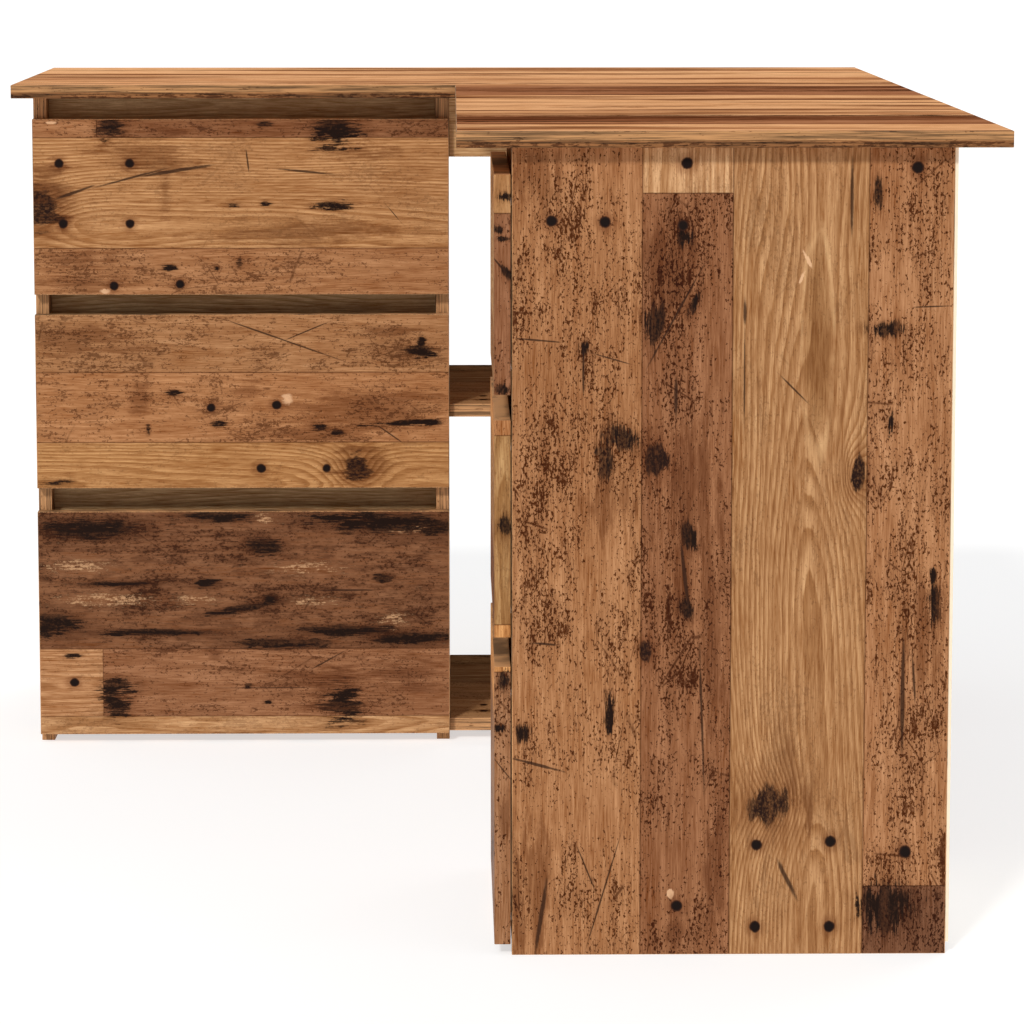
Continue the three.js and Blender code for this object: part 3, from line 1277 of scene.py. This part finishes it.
@dataclass
class Worktop:
    """The L-shaped worktop, whose edge bands are darker up to a few millimetres above their foot."""

    darker_foot: float = 6.3

    decor = PlankDecor(
        "X", "Y",
        planks=(
            Plank(115, Wood.STREAKED, (225, 167, 118), 0.3, 7.0),
            Plank(155, Wood.STREAKED, (172, 116, 80), 0.6, 9.0),
            Plank(258, Wood.STREAKED, (227, 170, 121), 0.4, 8.0),
            Plank(172, Wood.STREAKED, (225, 168, 119), 0.5, 7.0),
            Plank(215, Wood.STREAKED, (164, 108, 74), 0.5, 9.0),
            Plank(75, Wood.STREAKED, (227, 169, 121), 0.4, 8.0),
            Plank(186, Wood.STREAKED, (223, 165, 117), 0.6, 10.0),
            Plank(274, Wood.STREAKED, (231, 175, 126), 0.3, 8.0),
        ),
        spots=marks({
            Mark.CHAR: (
                (790, 266, 640, 15), (790, 792, 600, 12), (720, 873, 560, 10), (740, 990, 700, 8),
                (940, 526, 110, 7), (645, 440, 90, 7), (860, 205, 220, 8), (610, 165, 260, 7),
            ),
            Mark.STAIN: (
                (760, 250, 760, 80), (760, 815, 760, 90), (700, 985, 900, 40), (640, 440, 150, 34),
                (600, 130, 300, 26), (800, 1254, 160, 34), (700, 1390, 220, 40), (350, 1156, 160, 30),
                (190, 1170, 160, 26), (440, 1000, 300, 20), (850, 480, 240, 30),
            ),
        }),
        seed=3.0,
        lean=0.02,
        seam=0.6,
        roughness=0.6,
        gloss=0.0,
        streaks=True,
    )

    def build(self, finishes: Finishes) -> None:
        """Makes the board.

        Args:
            finishes: The shared materials; not used.
        """
        low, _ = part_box("desktop")
        darker_below = low.z / MM + self.darker_foot
        band = EdgeBand("worktop_band", tone=(176, 129, 85), darker_below=darker_below).material()
        board_piece("desktop", "worktop", self.decor.material("worktop_decor", low), band, band)


@dataclass
class Carcass:
    """The uprights, bottoms, shelf, rails and backs."""

    finishes: Finishes
    rail_setback: float = 25.0
    rail: tuple[float, float] = (15.0, 45.0)
    nail_pitch: float = 95.0
    nail_inset: float = 7.0
    cap_inset: float = 34.0
    shelf_cap_inset: float = 60.0
    first_seed: int = 11

    outer_side = PlankDecor(
        "Z", "X",
        planks=(
            Plank(118, Wood.PITTED, (162, 113, 75), 0.3, 6.0),
            Plank(82, Wood.PITTED, (139, 92, 61), 0.7, 5.0),
            Plank(123, Wood.PINE, (170, 125, 84), 0.63, 3.4, 26.0),
            Plank(77, Wood.PITTED, (162, 113, 76), 0.2, 5.0),
        ),
        shorts=(
            Short((703, 760), (118, 200), Plank(82, Wood.PINE, (191, 147, 105), 0.4, 4.0)),
            Short((-20, 64), (323, 420), Plank(77, Wood.PITTED, (113, 74, 51), 0.4, 5.0)),
        ),
        spots=marks({
            Mark.NAIL: (
                (678, 36), (677, 84), (730, 158), (674, 155), (46, 152), (726, 366), (103, 225),
                (106, 293), (26, 224), (26, 293), (96, 362, 13, 12),
            ),
            Mark.KNOT: ((461, 133, 30, 28), (140, 236, 40, 38), (447, 315, 30, 17), (284, 122, 20, 13)),
            Mark.CHAR: (
                (480, 100, 24, 34, 20), (460, 84, 34, 16), (562, 66, 16, 8), (227, 90, 34, 8),
                (208, 10, 16, 12), (664, 156, 14, 16), (586, 129, 34, 18), (605, 166, 24, 7, 20),
                (391, 161, 24, 12, -30), (324, 160, 16, 11), (702, 330, 22, 8), (579, 340, 12, 30),
                (492, 344, 22, 7), (325, 386, 36, 10), (353, 384, 14, 7), (44, 345, 42, 46),
            ),
            Mark.STAIN: (
                (640, 145, 90, 60), (430, 160, 190, 50), (175, 258, 90, 34, -20), (419, 88, 60, 44),
                (60, 20, 120, 44), (82, 186, 100, 24), (330, 184, 240, 26), (20, 155, 24, 34),
                (300, 380, 120, 30), (650, 129, 26, 18), (720, 20, 60, 60),
            ),
            Mark.CRACK: (
                (179, 22, 56, 3, 105), (62, 85, 124, 1.8, 16.5), (82, 68, 66, 1.4, -22),
                (37, 27, 72, 4.5, 8.6), (291, 30, 26, 2.5, 95), (352, 158, 64, 3.5, -7),
                (222, 174, 140, 3.2, -2), (71, 253, 44, 5, -26), (238, 358, 106, 4),
                (258, 368, 62, 2.5, -4), (543, 65, 48, 2.5), (570, 22, 52, 1.8, 95),
                (553, 90, 44, 1.6, 106), (595, 150, 116, 2.2, 28.6), (517, 149, 42, 4.5),
                (596, 211, 30, 3.6), (540, 211, 100, 1.8), (524, 257, 40, 2.2, 135), (700, 307, 74, 3.4),
                (600, 380, 40, 1.6, 88),
            ),
            Mark.HEART: ((568, 277, 190, 26),),
            Mark.PITS: (
                (560, 50, 360, 150), (440, 40, 200, 90), (640, 160, 130, 70), (560, 140, 90, 50),
                (560, 370, 70, 60), (690, 365, 110, 60), (470, 390, 120, 40),
            ),
            Mark.CHIP: ((57, 145, 9, 8), (642, 268, 20, 3.4, -28), (626, 262, 13, 3, 24)),
        }),
        seed=1.0,
        lean=0.03,
    )

    # Painted shade: the shelf bay's floors darken plank by plank from front to back, and a broad stain and
    # a long black strip along the back paint the shade that falls at the back of the bay.
    bay_floor_shaded_at_back = PlankDecor(
        "X", "Y",
        # Painted shade: the plank tones fall from the front plank to the back one.
        planks=(
            Plank(112, Wood.BROWN, (166, 124, 84), 0.4, 5.0),
            Plank(104, Wood.BROWN, (146, 106, 71), 0.6, 4.4),
            Plank(118, Wood.PINE, (130, 95, 64), 0.3, 4.8),
            Plank(200, Wood.BROWN, (120, 88, 58), 0.5, 5.0),
        ),
        spots=marks({
            # Painted shade: the first, broad stain lies near the back edge; the other two are stains of
            # the decor.
            Mark.STAIN: ((200, 330, 400, 60), (90, 220, 140, 40), (320, 60, 120, 30)),
            Mark.NAIL: ((40, 40), (40, 76), (400, 160), (400, 196)),
            # Painted shade: a long black strip along the back edge.
            Mark.CHAR: ((250, 395, 420, 26),),
        }),
        seed=41.0,
        gloss=0.0,
    )

    def build(self) -> None:
        """Makes every fixed board, and the panels behind."""
        decorated("pedestal_right_upright", self.finishes, self.outer_side)
        plain = [
            node
            for node, item in sorted(frame["nodes"].items())
            if item["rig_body"] == CARCASS
            and node != "pedestal_right_upright"
            and node.endswith(("_upright", "_rail", "_shelf", "_bottom"))
        ]
        for seed, node in enumerate(plain, self.first_seed):
            # The shelf bay's floors take the decor with painted shade at the back.
            decor = self.bay_floor_shaded_at_back if node in ("shelf_bay_bottom", "shelf_bay_middle_shelf") else None
            decorated(node, self.finishes, decor, seed=seed)
        for back in ("base_chest_back", "pedestal_chest_back"):
            plain_board(back, "hardboard", self.finishes.hardboard, 0.3 * MM)
            self._nails(back)
        self._top_rail()
        self._caps()

    def _top_rail(self) -> None:
        """Makes the rail at the top of the pedestal, which the CAD leaves out."""
        left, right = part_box("pedestal_left_upright"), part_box("pedestal_right_upright")
        thick, tall = (size * MM for size in self.rail)
        front = left[0].x + self.rail_setback * MM
        low = Vector((front, right[1].y, left[1].z - tall))
        corners = (Vector(), Vector((thick, 0, 0)), Vector((thick, 0, tall)), Vector((0, 0, tall)))
        decor = PlankDecor("Y", "Z", seed=5.0, **RAIL_DECOR)
        material = decor.material("pedestal_top_rail_decor", low)
        run = Vector((0, left[0].y - right[1].y, 0))
        made = drawn("pedestal_top_rail", [low + c for c in corners], run, material, 0.6 * MM)
        fitted(made, CARCASS, "inside")

    def _nails(self, node: str) -> None:
        """Nails a back panel round its rim.

        Args:
            node: The panel's CAD node.
        """
        low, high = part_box(node)
        thin, wide = (0, 1) if high.x - low.x < high.y - low.y else (1, 0)
        rim = self.nail_inset * MM
        places = []
        for axis, other in ((wide, 2), (2, wide)):
            count = round((high[axis] - low[axis]) / (self.nail_pitch * MM))
            for step in range(1, count):
                for edge in (low[other] + rim, high[other] - rim):
                    place = Vector(high)
                    place[axis] = low[axis] + (high[axis] - low[axis]) * step / count
                    place[other] = edge
                    places.append(place)
        ways = [(place, AXIS_WAYS[thin]) for place in places]
        fitted(studded(f"{node}_nails", NAIL_HEAD, ways, self.finishes.zinc), CARCASS, "steel")

    def _caps(self) -> None:
        """Covers the cam fittings behind the rails and under the middle shelf with plastic caps."""
        inset, shelf_inset = self.cap_inset * MM, self.shelf_cap_inset * MM
        places = []
        for node in sorted(frame["nodes"]):
            low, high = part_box(node)
            if node.endswith("_rail"):
                run, deep = (0, 1) if high.x - low.x > high.y - low.y else (1, 0)
                for end in (low[run] + inset, high[run] - inset):
                    place = (low + high) / 2
                    place[run], place[deep] = end, high[deep]
                    places.append((place, AXIS_WAYS[deep]))
            elif node.endswith("_middle_shelf"):
                for x in (low.x + inset, high.x - inset):
                    for y in (low.y + shelf_inset, high.y - shelf_inset):
                        places.append((Vector((x, y, low.z)), -UP))
        fitted(studded("cam_caps", CAM_CAP, places, self.finishes.cap), CARCASS, "panel")


@dataclass
class Runner:
    """One side's roller runner: the channel on the upright and the member under the drawer side.

    Places are in millimetres behind the upright's front edge, from its face, and above the channel's foot.
    """

    drawer: str
    side: str
    forward: Vector
    finishes: Finishes
    rise: float = 2.25
    setback: float = 2.0
    length: float = 346.0
    roller_radius: float = 8.5
    channel_screws: tuple[float, ...] = (38.0, 134.0, 294.0)
    member_screws: tuple[float, ...] = (46.0, 172.0, 284.0)

    def __post_init__(self) -> None:
        """Finds where the channel stands and which way the drawer lies."""
        self.channel = f"{self.drawer}_{self.side}_runner"
        across = UP.cross(self.forward)
        place = middle(self.channel)
        towards = (middle(f"{self.drawer}_drawer_{self.side}_side") - place).dot(across)
        self.inward = across * math.copysign(1, towards)
        self.corner = place - reach(self.channel, self.inward) + reach(self.channel, self.forward)
        self.corner += self.forward * self.setback * MM
        self.corner.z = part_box(self.channel)[0].z + self.rise * MM

    def at(self, deep: float, inward: float, up: float) -> Vector:
        """The point at a place of the runner."""
        return self.corner + (self.inward * inward - self.forward * deep) * MM + UP * up * MM

    def build(self) -> None:
        """Makes the drawer member, both rollers and the screws, and finishes the channel."""
        body, name = f"{self.drawer}_drawer", f"{self.drawer}_{self.side}"
        for slot in frame["nodes"][self.channel].material_slots:
            slot.material = self.finishes.steel
        section = [self.at(1, inward, up) for inward, up in MEMBER_SECTION]
        run = -self.forward * self.length * MM
        fitted(drawn(f"{name}_member", section, run, self.finishes.steel), body, "steel")

        rim = self.roller_radius
        tyre = ((0, 2.6), (0, 7.9), (0.6, rim), (5.4, rim), (6, 7.9), (6, 2.6), (5, 2.6), (5, 0))
        rollers = (("front", (11, 2.0, 8.0), CARCASS), ("rear", (self.length - 10, 3.0, 7.6), body))
        for end, place, owner in rollers:
            axle = [(self.at(*place), self.inward)]
            roller = studded(f"{name}_{end}_roller", tyre, axle, self.finishes.nylon, 36)
            fitted(roller, owner, "steel")
        fixed = [(self.at(deep, 1.25, 8.75), self.inward) for deep in self.channel_screws]
        moving = [(self.at(deep, 11.5, 9.0), -self.inward) for deep in self.member_screws]
        for part, places, owner in (("channel", fixed, CARCASS), ("member", moving, body)):
            screws = studded(f"{name}_{part}_screws", SCREW_HEAD, places, self.finishes.zinc)
            fitted(screws, owner, "steel")


@dataclass
class Drawer:
    """One drawer: its decorated front, box, cams, buffers and runners."""

    chest: str
    level: str
    forward: Vector
    decor: PlankDecor
    edge: PlankDecor | None
    finishes: Finishes
    cam_rise: float = 30.0
    cam_inset: float = 34.0
    buffer_inset: float = 7.0
    buffer_rise: float = 25.0

    def build(self) -> None:
        """Makes the drawer."""
        name = f"{self.chest}_{self.level}"
        body = f"{name}_drawer"
        decorated(f"{body}_front", self.finishes, self.decor, self.edge)
        for part in ("left_side", "right_side", "back"):
            plain_board(f"{body}_{part}", "drawer_box", self.finishes.foil, 0.6 * MM)
        plain_board(f"{body}_bottom", "hardboard", self.finishes.hardboard, 0.2 * MM)
        cams = studded(f"{name}_cams", CAM, self._cam_places(body), self.finishes.zinc)
        fitted(cams, body, "steel")
        buffers = studded(f"{name}_buffers", BUFFER, self._buffer_places(body), self.finishes.nylon)
        fitted(buffers, body, "drawer_box")
        for side in SIDES:
            Runner(name, side, self.forward, self.finishes).build()

    def _cam_places(self, body: str) -> list[tuple[Vector, Vector]]:
        """Where the cams that hold the front sit, in the inner faces of the sides.

        Args:
            body: The drawer's body.

        Returns:
            Each one's place and axis.
        """
        places = []
        centre, across = middle(f"{body}_bottom"), UP.cross(self.forward)
        for side in SIDES:
            node = f"{body}_{side}_side"
            low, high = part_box(node)
            inward = across * math.copysign(1, (centre - middle(node)).dot(across))
            place = middle(node) + reach(node, inward)
            place += reach(node, self.forward) - self.forward * self.cam_inset * MM
            for z in (low.z + self.cam_rise * MM, high.z - self.cam_rise * MM):
                places.append((Vector((place.x, place.y, z)), inward))
        return places

    def _buffer_places(self, body: str) -> list[tuple[Vector, Vector]]:
        """Where the soft buffers sit behind the front's corners, against the uprights.

        Args:
            body: The drawer's body.

        Returns:
            Each one's place and axis.
        """
        node, across = f"{body}_front", UP.cross(self.forward)
        low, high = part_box(node)
        back = middle(node) - reach(node, self.forward)
        places = []
        for way in (-across, across):
            corner = back + reach(node, way) - way * self.buffer_inset * MM
            for z in (low.z + self.buffer_rise * MM, high.z - self.buffer_rise * MM):
                places.append((Vector((corner.x, corner.y, z)), -self.forward))
        return places


@dataclass
class Chest:
    """A stack of three drawers in one unit."""

    name: str
    forward: Vector
    decors: tuple[PlankDecor, ...]
    edges: tuple[PlankDecor | None, ...]
    finishes: Finishes

    def build(self) -> None:
        """Makes the three drawers."""
        for level, decor, edge in zip(LEVELS, self.decors, self.edges):
            Drawer(self.name, level, self.forward, decor, edge, self.finishes).build()


BASE_FRONTS = (
    PlankDecor(
        "X", "Z",
        planks=(
            Plank(21, Wood.PINE, LIGHT_PINE, 0.5, 4.0),
            Plank(79, Wood.BROWN, (143, 97, 66), 0.4, 6.0),
            Plank(160, Wood.WEATHERED, (136, 93, 64), 0.4, 5.0),
        ),
        shorts=(Short((-20, 73), (21, 100), Plank(79, Wood.PINE, (178, 130, 90), 0.5, 4.0)),),
        spots=marks({
            Mark.NAIL: ((40, 61),),
            Mark.CHAR: (
                (86, 36, 32, 36), (90, 56, 36, 18), (348, 35, 44, 40), (239, 56, 8, 7), (263, 37, 11, 5),
                (38, 92, 18, 5), (207, 254, 80, 12), (400, 246, 170, 22, -3), (15, 128, 60, 24),
                (127, 119, 150, 7), (280, 106, 90, 12), (358, 121, 110, 12), (260, 219, 38, 18),
                (193, 176, 28, 9), (235, 147, 80, 8, 10), (397, 183, 20, 8), (60, 240, 110, 24),
                (268, 157, 18, 14), (430, 112, 90, 14), (90, 176, 80, 6),
            ),
            Mark.STAIN: ((330, 55, 130, 50), (203, 92, 22, 24), (420, 70, 90, 40)),
            Mark.CRACK: ((353, 168, 74, 2.4), (330, 85, 52, 2.2, 29), (270, 54, 136, 1.4)),
            Mark.WORN: (
                (45, 197, 110, 26), (310, 194, 120, 22), (75, 157, 170, 22), (180, 157, 80, 18),
                (316, 155, 90, 16), (408, 133, 50, 26), (260, 250, 34, 22), (420, 240, 60, 14),
            ),
        }),
        seed=7.0,
        seam=0.6,
    ),
    PlankDecor(
        "X", "Z",
        planks=(
            Plank(53, Wood.PINE, (178, 130, 83), 0.1, 3.6, 20.0),
            Plank(80.5, Wood.BROWN, (168, 117, 77), 0.5, 6.0),
            Plank(66.5, Wood.BROWN, (164, 117, 78), 0.5, 6.0),
        ),
        spots=marks({
            Mark.NAIL: ((200, 93), (275, 96), (257, 23), (332, 23)),
            Mark.KNOT: ((366, 25, 32, 30),),
            Mark.CHAR: (
                (442, 157, 46, 14), (441, 168, 9, 11), (158, 110, 17, 6), (210, 75, 17, 7),
                (427, 75, 92, 6, 3), (21, 6, 32, 7), (326, 70, 16, 8), (344, 64, 14, 8), (128, 68, 5, 10),
            ),
            Mark.STAIN: (
                (119, 107, 24, 42), (326, 66, 130, 24), (390, 90, 170, 50), (372, 26, 80, 44),
                (50, 170, 130, 30), (400, 180, 60, 14), (240, 110, 40, 30),
            ),
            Mark.CRACK: ((280, 172, 156, 2.2, -19.5), (310, 181, 74, 1.6, 22.7), (405, 62, 40, 2.0, -35)),
            Mark.PITS: (
                (70, 165, 200, 60), (190, 180, 120, 40), (420, 160, 90, 60), (300, 70, 180, 40),
                (120, 100, 40, 60), (400, 95, 120, 60), (20, 150, 60, 40),
            ),
            Mark.CHIP: ((287, 103, 13, 10),),
        }),
        seed=8.0,
    ),
    PlankDecor(
        "X", "Z",
        planks=(
            Plank(53, Wood.BROWN, (162, 113, 75), 0.5, 6.0),
            Plank(126, Wood.PINE, (178, 130, 86), 0.15, 3.6, 22.0),
            Plank(21, Wood.BROWN, (134, 89, 58), 0.5, 5.0),
        ),
        shorts=(Short((-20, 73), (179, 220), Plank(21, Wood.BROWN, (159, 110, 73), 0.5, 5.0)),),
        spots=marks({
            Mark.NAIL: ((30, 150), (110, 150), (34, 81), (110, 81), (91, 10), (166, 12)),
            Mark.KNOT: ((8, 96, 42, 44),),
            Mark.CHAR: (
                (86, 191, 26, 24), (344, 186, 46, 36), (263, 195, 14, 6), (344, 101, 36, 10),
                (227, 102, 16, 6), (264, 104, 11, 5), (155, 31, 17, 6), (208, 30, 6, 5), (234, 36, 6, 9),
            ),
            Mark.STAIN: (
                (150, 118, 18, 52), (130, 160, 120, 46), (45, 41, 60, 18), (86, 41, 24, 15),
                (55, 12, 90, 26), (20, 120, 50, 60), (380, 160, 90, 30), (300, 70, 200, 30),
            ),
            Mark.CRACK: (
                (312, 140, 78, 3.4, -5.6), (244, 152, 30, 2.2, 97), (45, 116, 56, 4, 19.6),
                (110, 133, 88, 3.2, 14.8), (160, 141, 100, 4.2, 9), (410, 92, 30, 1.4, -50),
            ),
            Mark.PITS: (
                (50, 36, 110, 40), (110, 20, 60, 30), (240, 30, 50, 40), (20, 105, 70, 70),
                (140, 152, 120, 40), (300, 190, 220, 24), (420, 120, 70, 60),
            ),
            Mark.CHIP: ((81, 4, 12, 6), (22, 196, 14, 3)),
        }),
        seed=9.0,
    ),
)

PEDESTAL_FRONTS = (
    PlankDecor(
        "Y", "Z",
        planks=(
            Plank(96, Wood.PITTED, BROWN, 0.5, 5.0),
            Plank(110, Wood.BROWN, TAN, 0.3, 5.0),
            Plank(54, Wood.PINE, (212, 149, 90), 0.5, 5.0),
        ),
        spots=marks({
            Mark.NAIL: ((70, 150), (70, 118), (210, 24), (262, 24)),
            Mark.KNOT: ((255, 165, 30, 24),),
            Mark.CHAR: ((140, 60, 60, 24),),
            Mark.STAIN: ((60, 90, 120, 50),),
        }),
        seed=21.0,
    ),
    PlankDecor(
        "Y", "Z",
        planks=(
            Plank(70, Wood.PITTED, RED_BROWN, 0.5, 5.0),
            Plank(92, Wood.PINE, PINE, 0.5, 5.0, 12.0),
            Plank(38, Wood.BROWN, (204, 142, 88), 0.5, 5.0),
        ),
        spots=marks({
            Mark.NAIL: ((44, 136), (44, 90), (300, 20), (248, 20)),
            Mark.KNOT: ((190, 112, 26, 20),),
            Mark.CHAR: ((30, 36, 40, 34),),
        }),
        seed=22.0,
    ),
    PlankDecor(
        "Y", "Z",
        planks=(
            Plank(58, Wood.BROWN, TAN, 0.5, 5.0),
            Plank(104, Wood.PINE, LIGHT_PINE, 0.2, 5.0, 12.0),
            Plank(38, Wood.PITTED, (197, 138, 86), 0.5, 5.0),
        ),
        spots=marks({
            Mark.NAIL: ((60, 80), (60, 142), (318, 30)),
            Mark.KNOT: ((292, 118, 30, 24),),
            Mark.CHAR: ((160, 182, 34, 30),),
            Mark.STAIN: ((120, 30, 140, 30),),
        }),
        seed=23.0,
    ),
)

PEDESTAL_EDGES = (
    PlankDecor(
        "Z", "X",
        planks=(Plank(15, Wood.PITTED, (151, 106, 73), 0.5, 4.0),),
        shorts=(Short((255, 270), (-5, 20), Plank(15, Wood.PINE, (204, 147, 92), 0.5, 4.0)),),
        spots=marks({
            Mark.CHAR: ((247, 10, 16, 12), (203, 5, 7, 12)),
            Mark.CRACK: ((164, 8, 32, 1.6, -38),),
            Mark.STAIN: ((120, 8, 60, 12),),
        }),
        seed=31.0,
    ),
    PlankDecor(
        "Z", "X",
        planks=(Plank(15, Wood.PINE, (164, 123, 79), 0.4, 3.5),),
        shorts=(
            Short((186, 210), (-5, 20), Plank(15, Wood.BROWN, (170, 117, 75), 0.5, 4.0)),
            Short((-10, 12), (-5, 20), Plank(15, Wood.PINE, (197, 140, 86), 0.5, 4.0)),
        ),
        spots=marks({
            Mark.CHAR: ((104, 9, 14, 14),),
            Mark.STAIN: ((100, 8, 40, 12),),
        }),
        seed=32.0,
    ),
    PlankDecor(
        "Z", "X",
        planks=(Plank(15, Wood.PITTED, (139, 93, 64), 0.5, 4.0),),
        shorts=(Short((165, 210), (-5, 20), Plank(15, Wood.PINE, (181, 136, 92), 0.5, 4.0)),),
        spots=marks({
            Mark.CHAR: (
                (180, 9, 8, 12), (150, 4, 6, 8), (142, 8, 4, 14), (112, 11, 14, 6, -40), (5, 9, 9, 14),
            ),
            Mark.CRACK: ((118, 5, 24, 2.0, -40),),
        }),
        seed=33.0,
    ),
)


class Studio:
    """The camera, floor, lights and background."""

    lens = 142.65
    place = Vector((-0.004, -4.3551, 0.9595))
    pan = math.radians(0.851)
    tilt = math.radians(7.07)
    shift = -0.1

    def build(self) -> None:
        """Makes the stage."""
        scene = bpy.context.scene
        scene.view_settings.view_transform = "Standard"
        data = bpy.data.cameras.new("view")
        data.lens = self.lens
        data.sensor_width = 36.0
        data.shift_y = self.shift
        data.clip_end = 100.0
        camera = bpy.data.objects.new("view", data)
        camera.location = self.place
        camera.rotation_euler = (math.pi / 2 - self.tilt, 0.0, -self.pan)
        scene.collection.objects.link(camera)
        scene.camera = camera
        self._floor()
        self._light()

    @staticmethod
    def _floor() -> None:
        """Makes the plain pale floor."""
        mesh = bmesh.new()
        bmesh.ops.create_grid(mesh, x_segments=2, y_segments=2, size=40.0)
        net = Net("floor")
        grain = net.noise(net.place(), (0.001, 0.001, 0.001), 2.0)
        tone = net.mix(grain, (0.5, 0.5, 0.5), (0.52, 0.52, 0.52))
        glow = {"emission_strength": 0.58, "specular_ior_level": 0.1}
        floor = finished("floor", mesh, net.surface(tone, 0.9, **glow))

    @staticmethod
    def _light() -> None:
        """Makes the soft light: a pale surround, a key from the front and upper left, and a weak fill."""
        net = Net("surround", world=True)
        height = net.add("ShaderNodeTexCoord", output="Generated")
        height = net.add("ShaderNodeSeparateXYZ", {}, {0: height}, "Z")
        ends = {"From Min": 0.0, "From Max": 0.5, "To Min": 0.2, "To Max": 0.55}
        strength = net.add("ShaderNodeMapRange", {}, {"Value": height, **ends})
        pale = net.add("ShaderNodeBackground", {}, {"Color": (1.0, 1.0, 1.0, 1.0), "Strength": strength})
        net.add("ShaderNodeOutputWorld", {}, {"Surface": pale})
        bpy.context.scene.world = net.owner
        suns = (
            ("key", 2.1, 8.0, (1.0, 0.98, 0.95), (0.4, 1.0, -0.75)),
            ("fill", 0.7, 40.0, (0.97, 0.98, 1.0), (-0.5, -1.0, -0.9)),
        )
        for name, energy, spread, colour, towards in suns:
            data = bpy.data.lights.new(name, "SUN")
            data.energy = energy
            data.angle = math.radians(spread)
            data.color = colour
            lamp = bpy.data.objects.new(name, data)
            lamp.rotation_euler = Vector(towards).to_track_quat("-Z", "Y").to_euler()
            bpy.context.scene.collection.objects.link(lamp)


def main() -> None:
    """Builds the desk and its stage."""
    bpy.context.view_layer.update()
    Studio().build()
    finishes = Finishes()
    Worktop().build(finishes)
    Carcass(finishes).build()
    Chest("base", Vector((0, -1, 0)), BASE_FRONTS, (None, None, None), finishes).build()
    Chest("pedestal", Vector((-1, 0, 0)), PEDESTAL_FRONTS, PEDESTAL_EDGES, finishes).build()


if __name__ == "__main__":
    main()
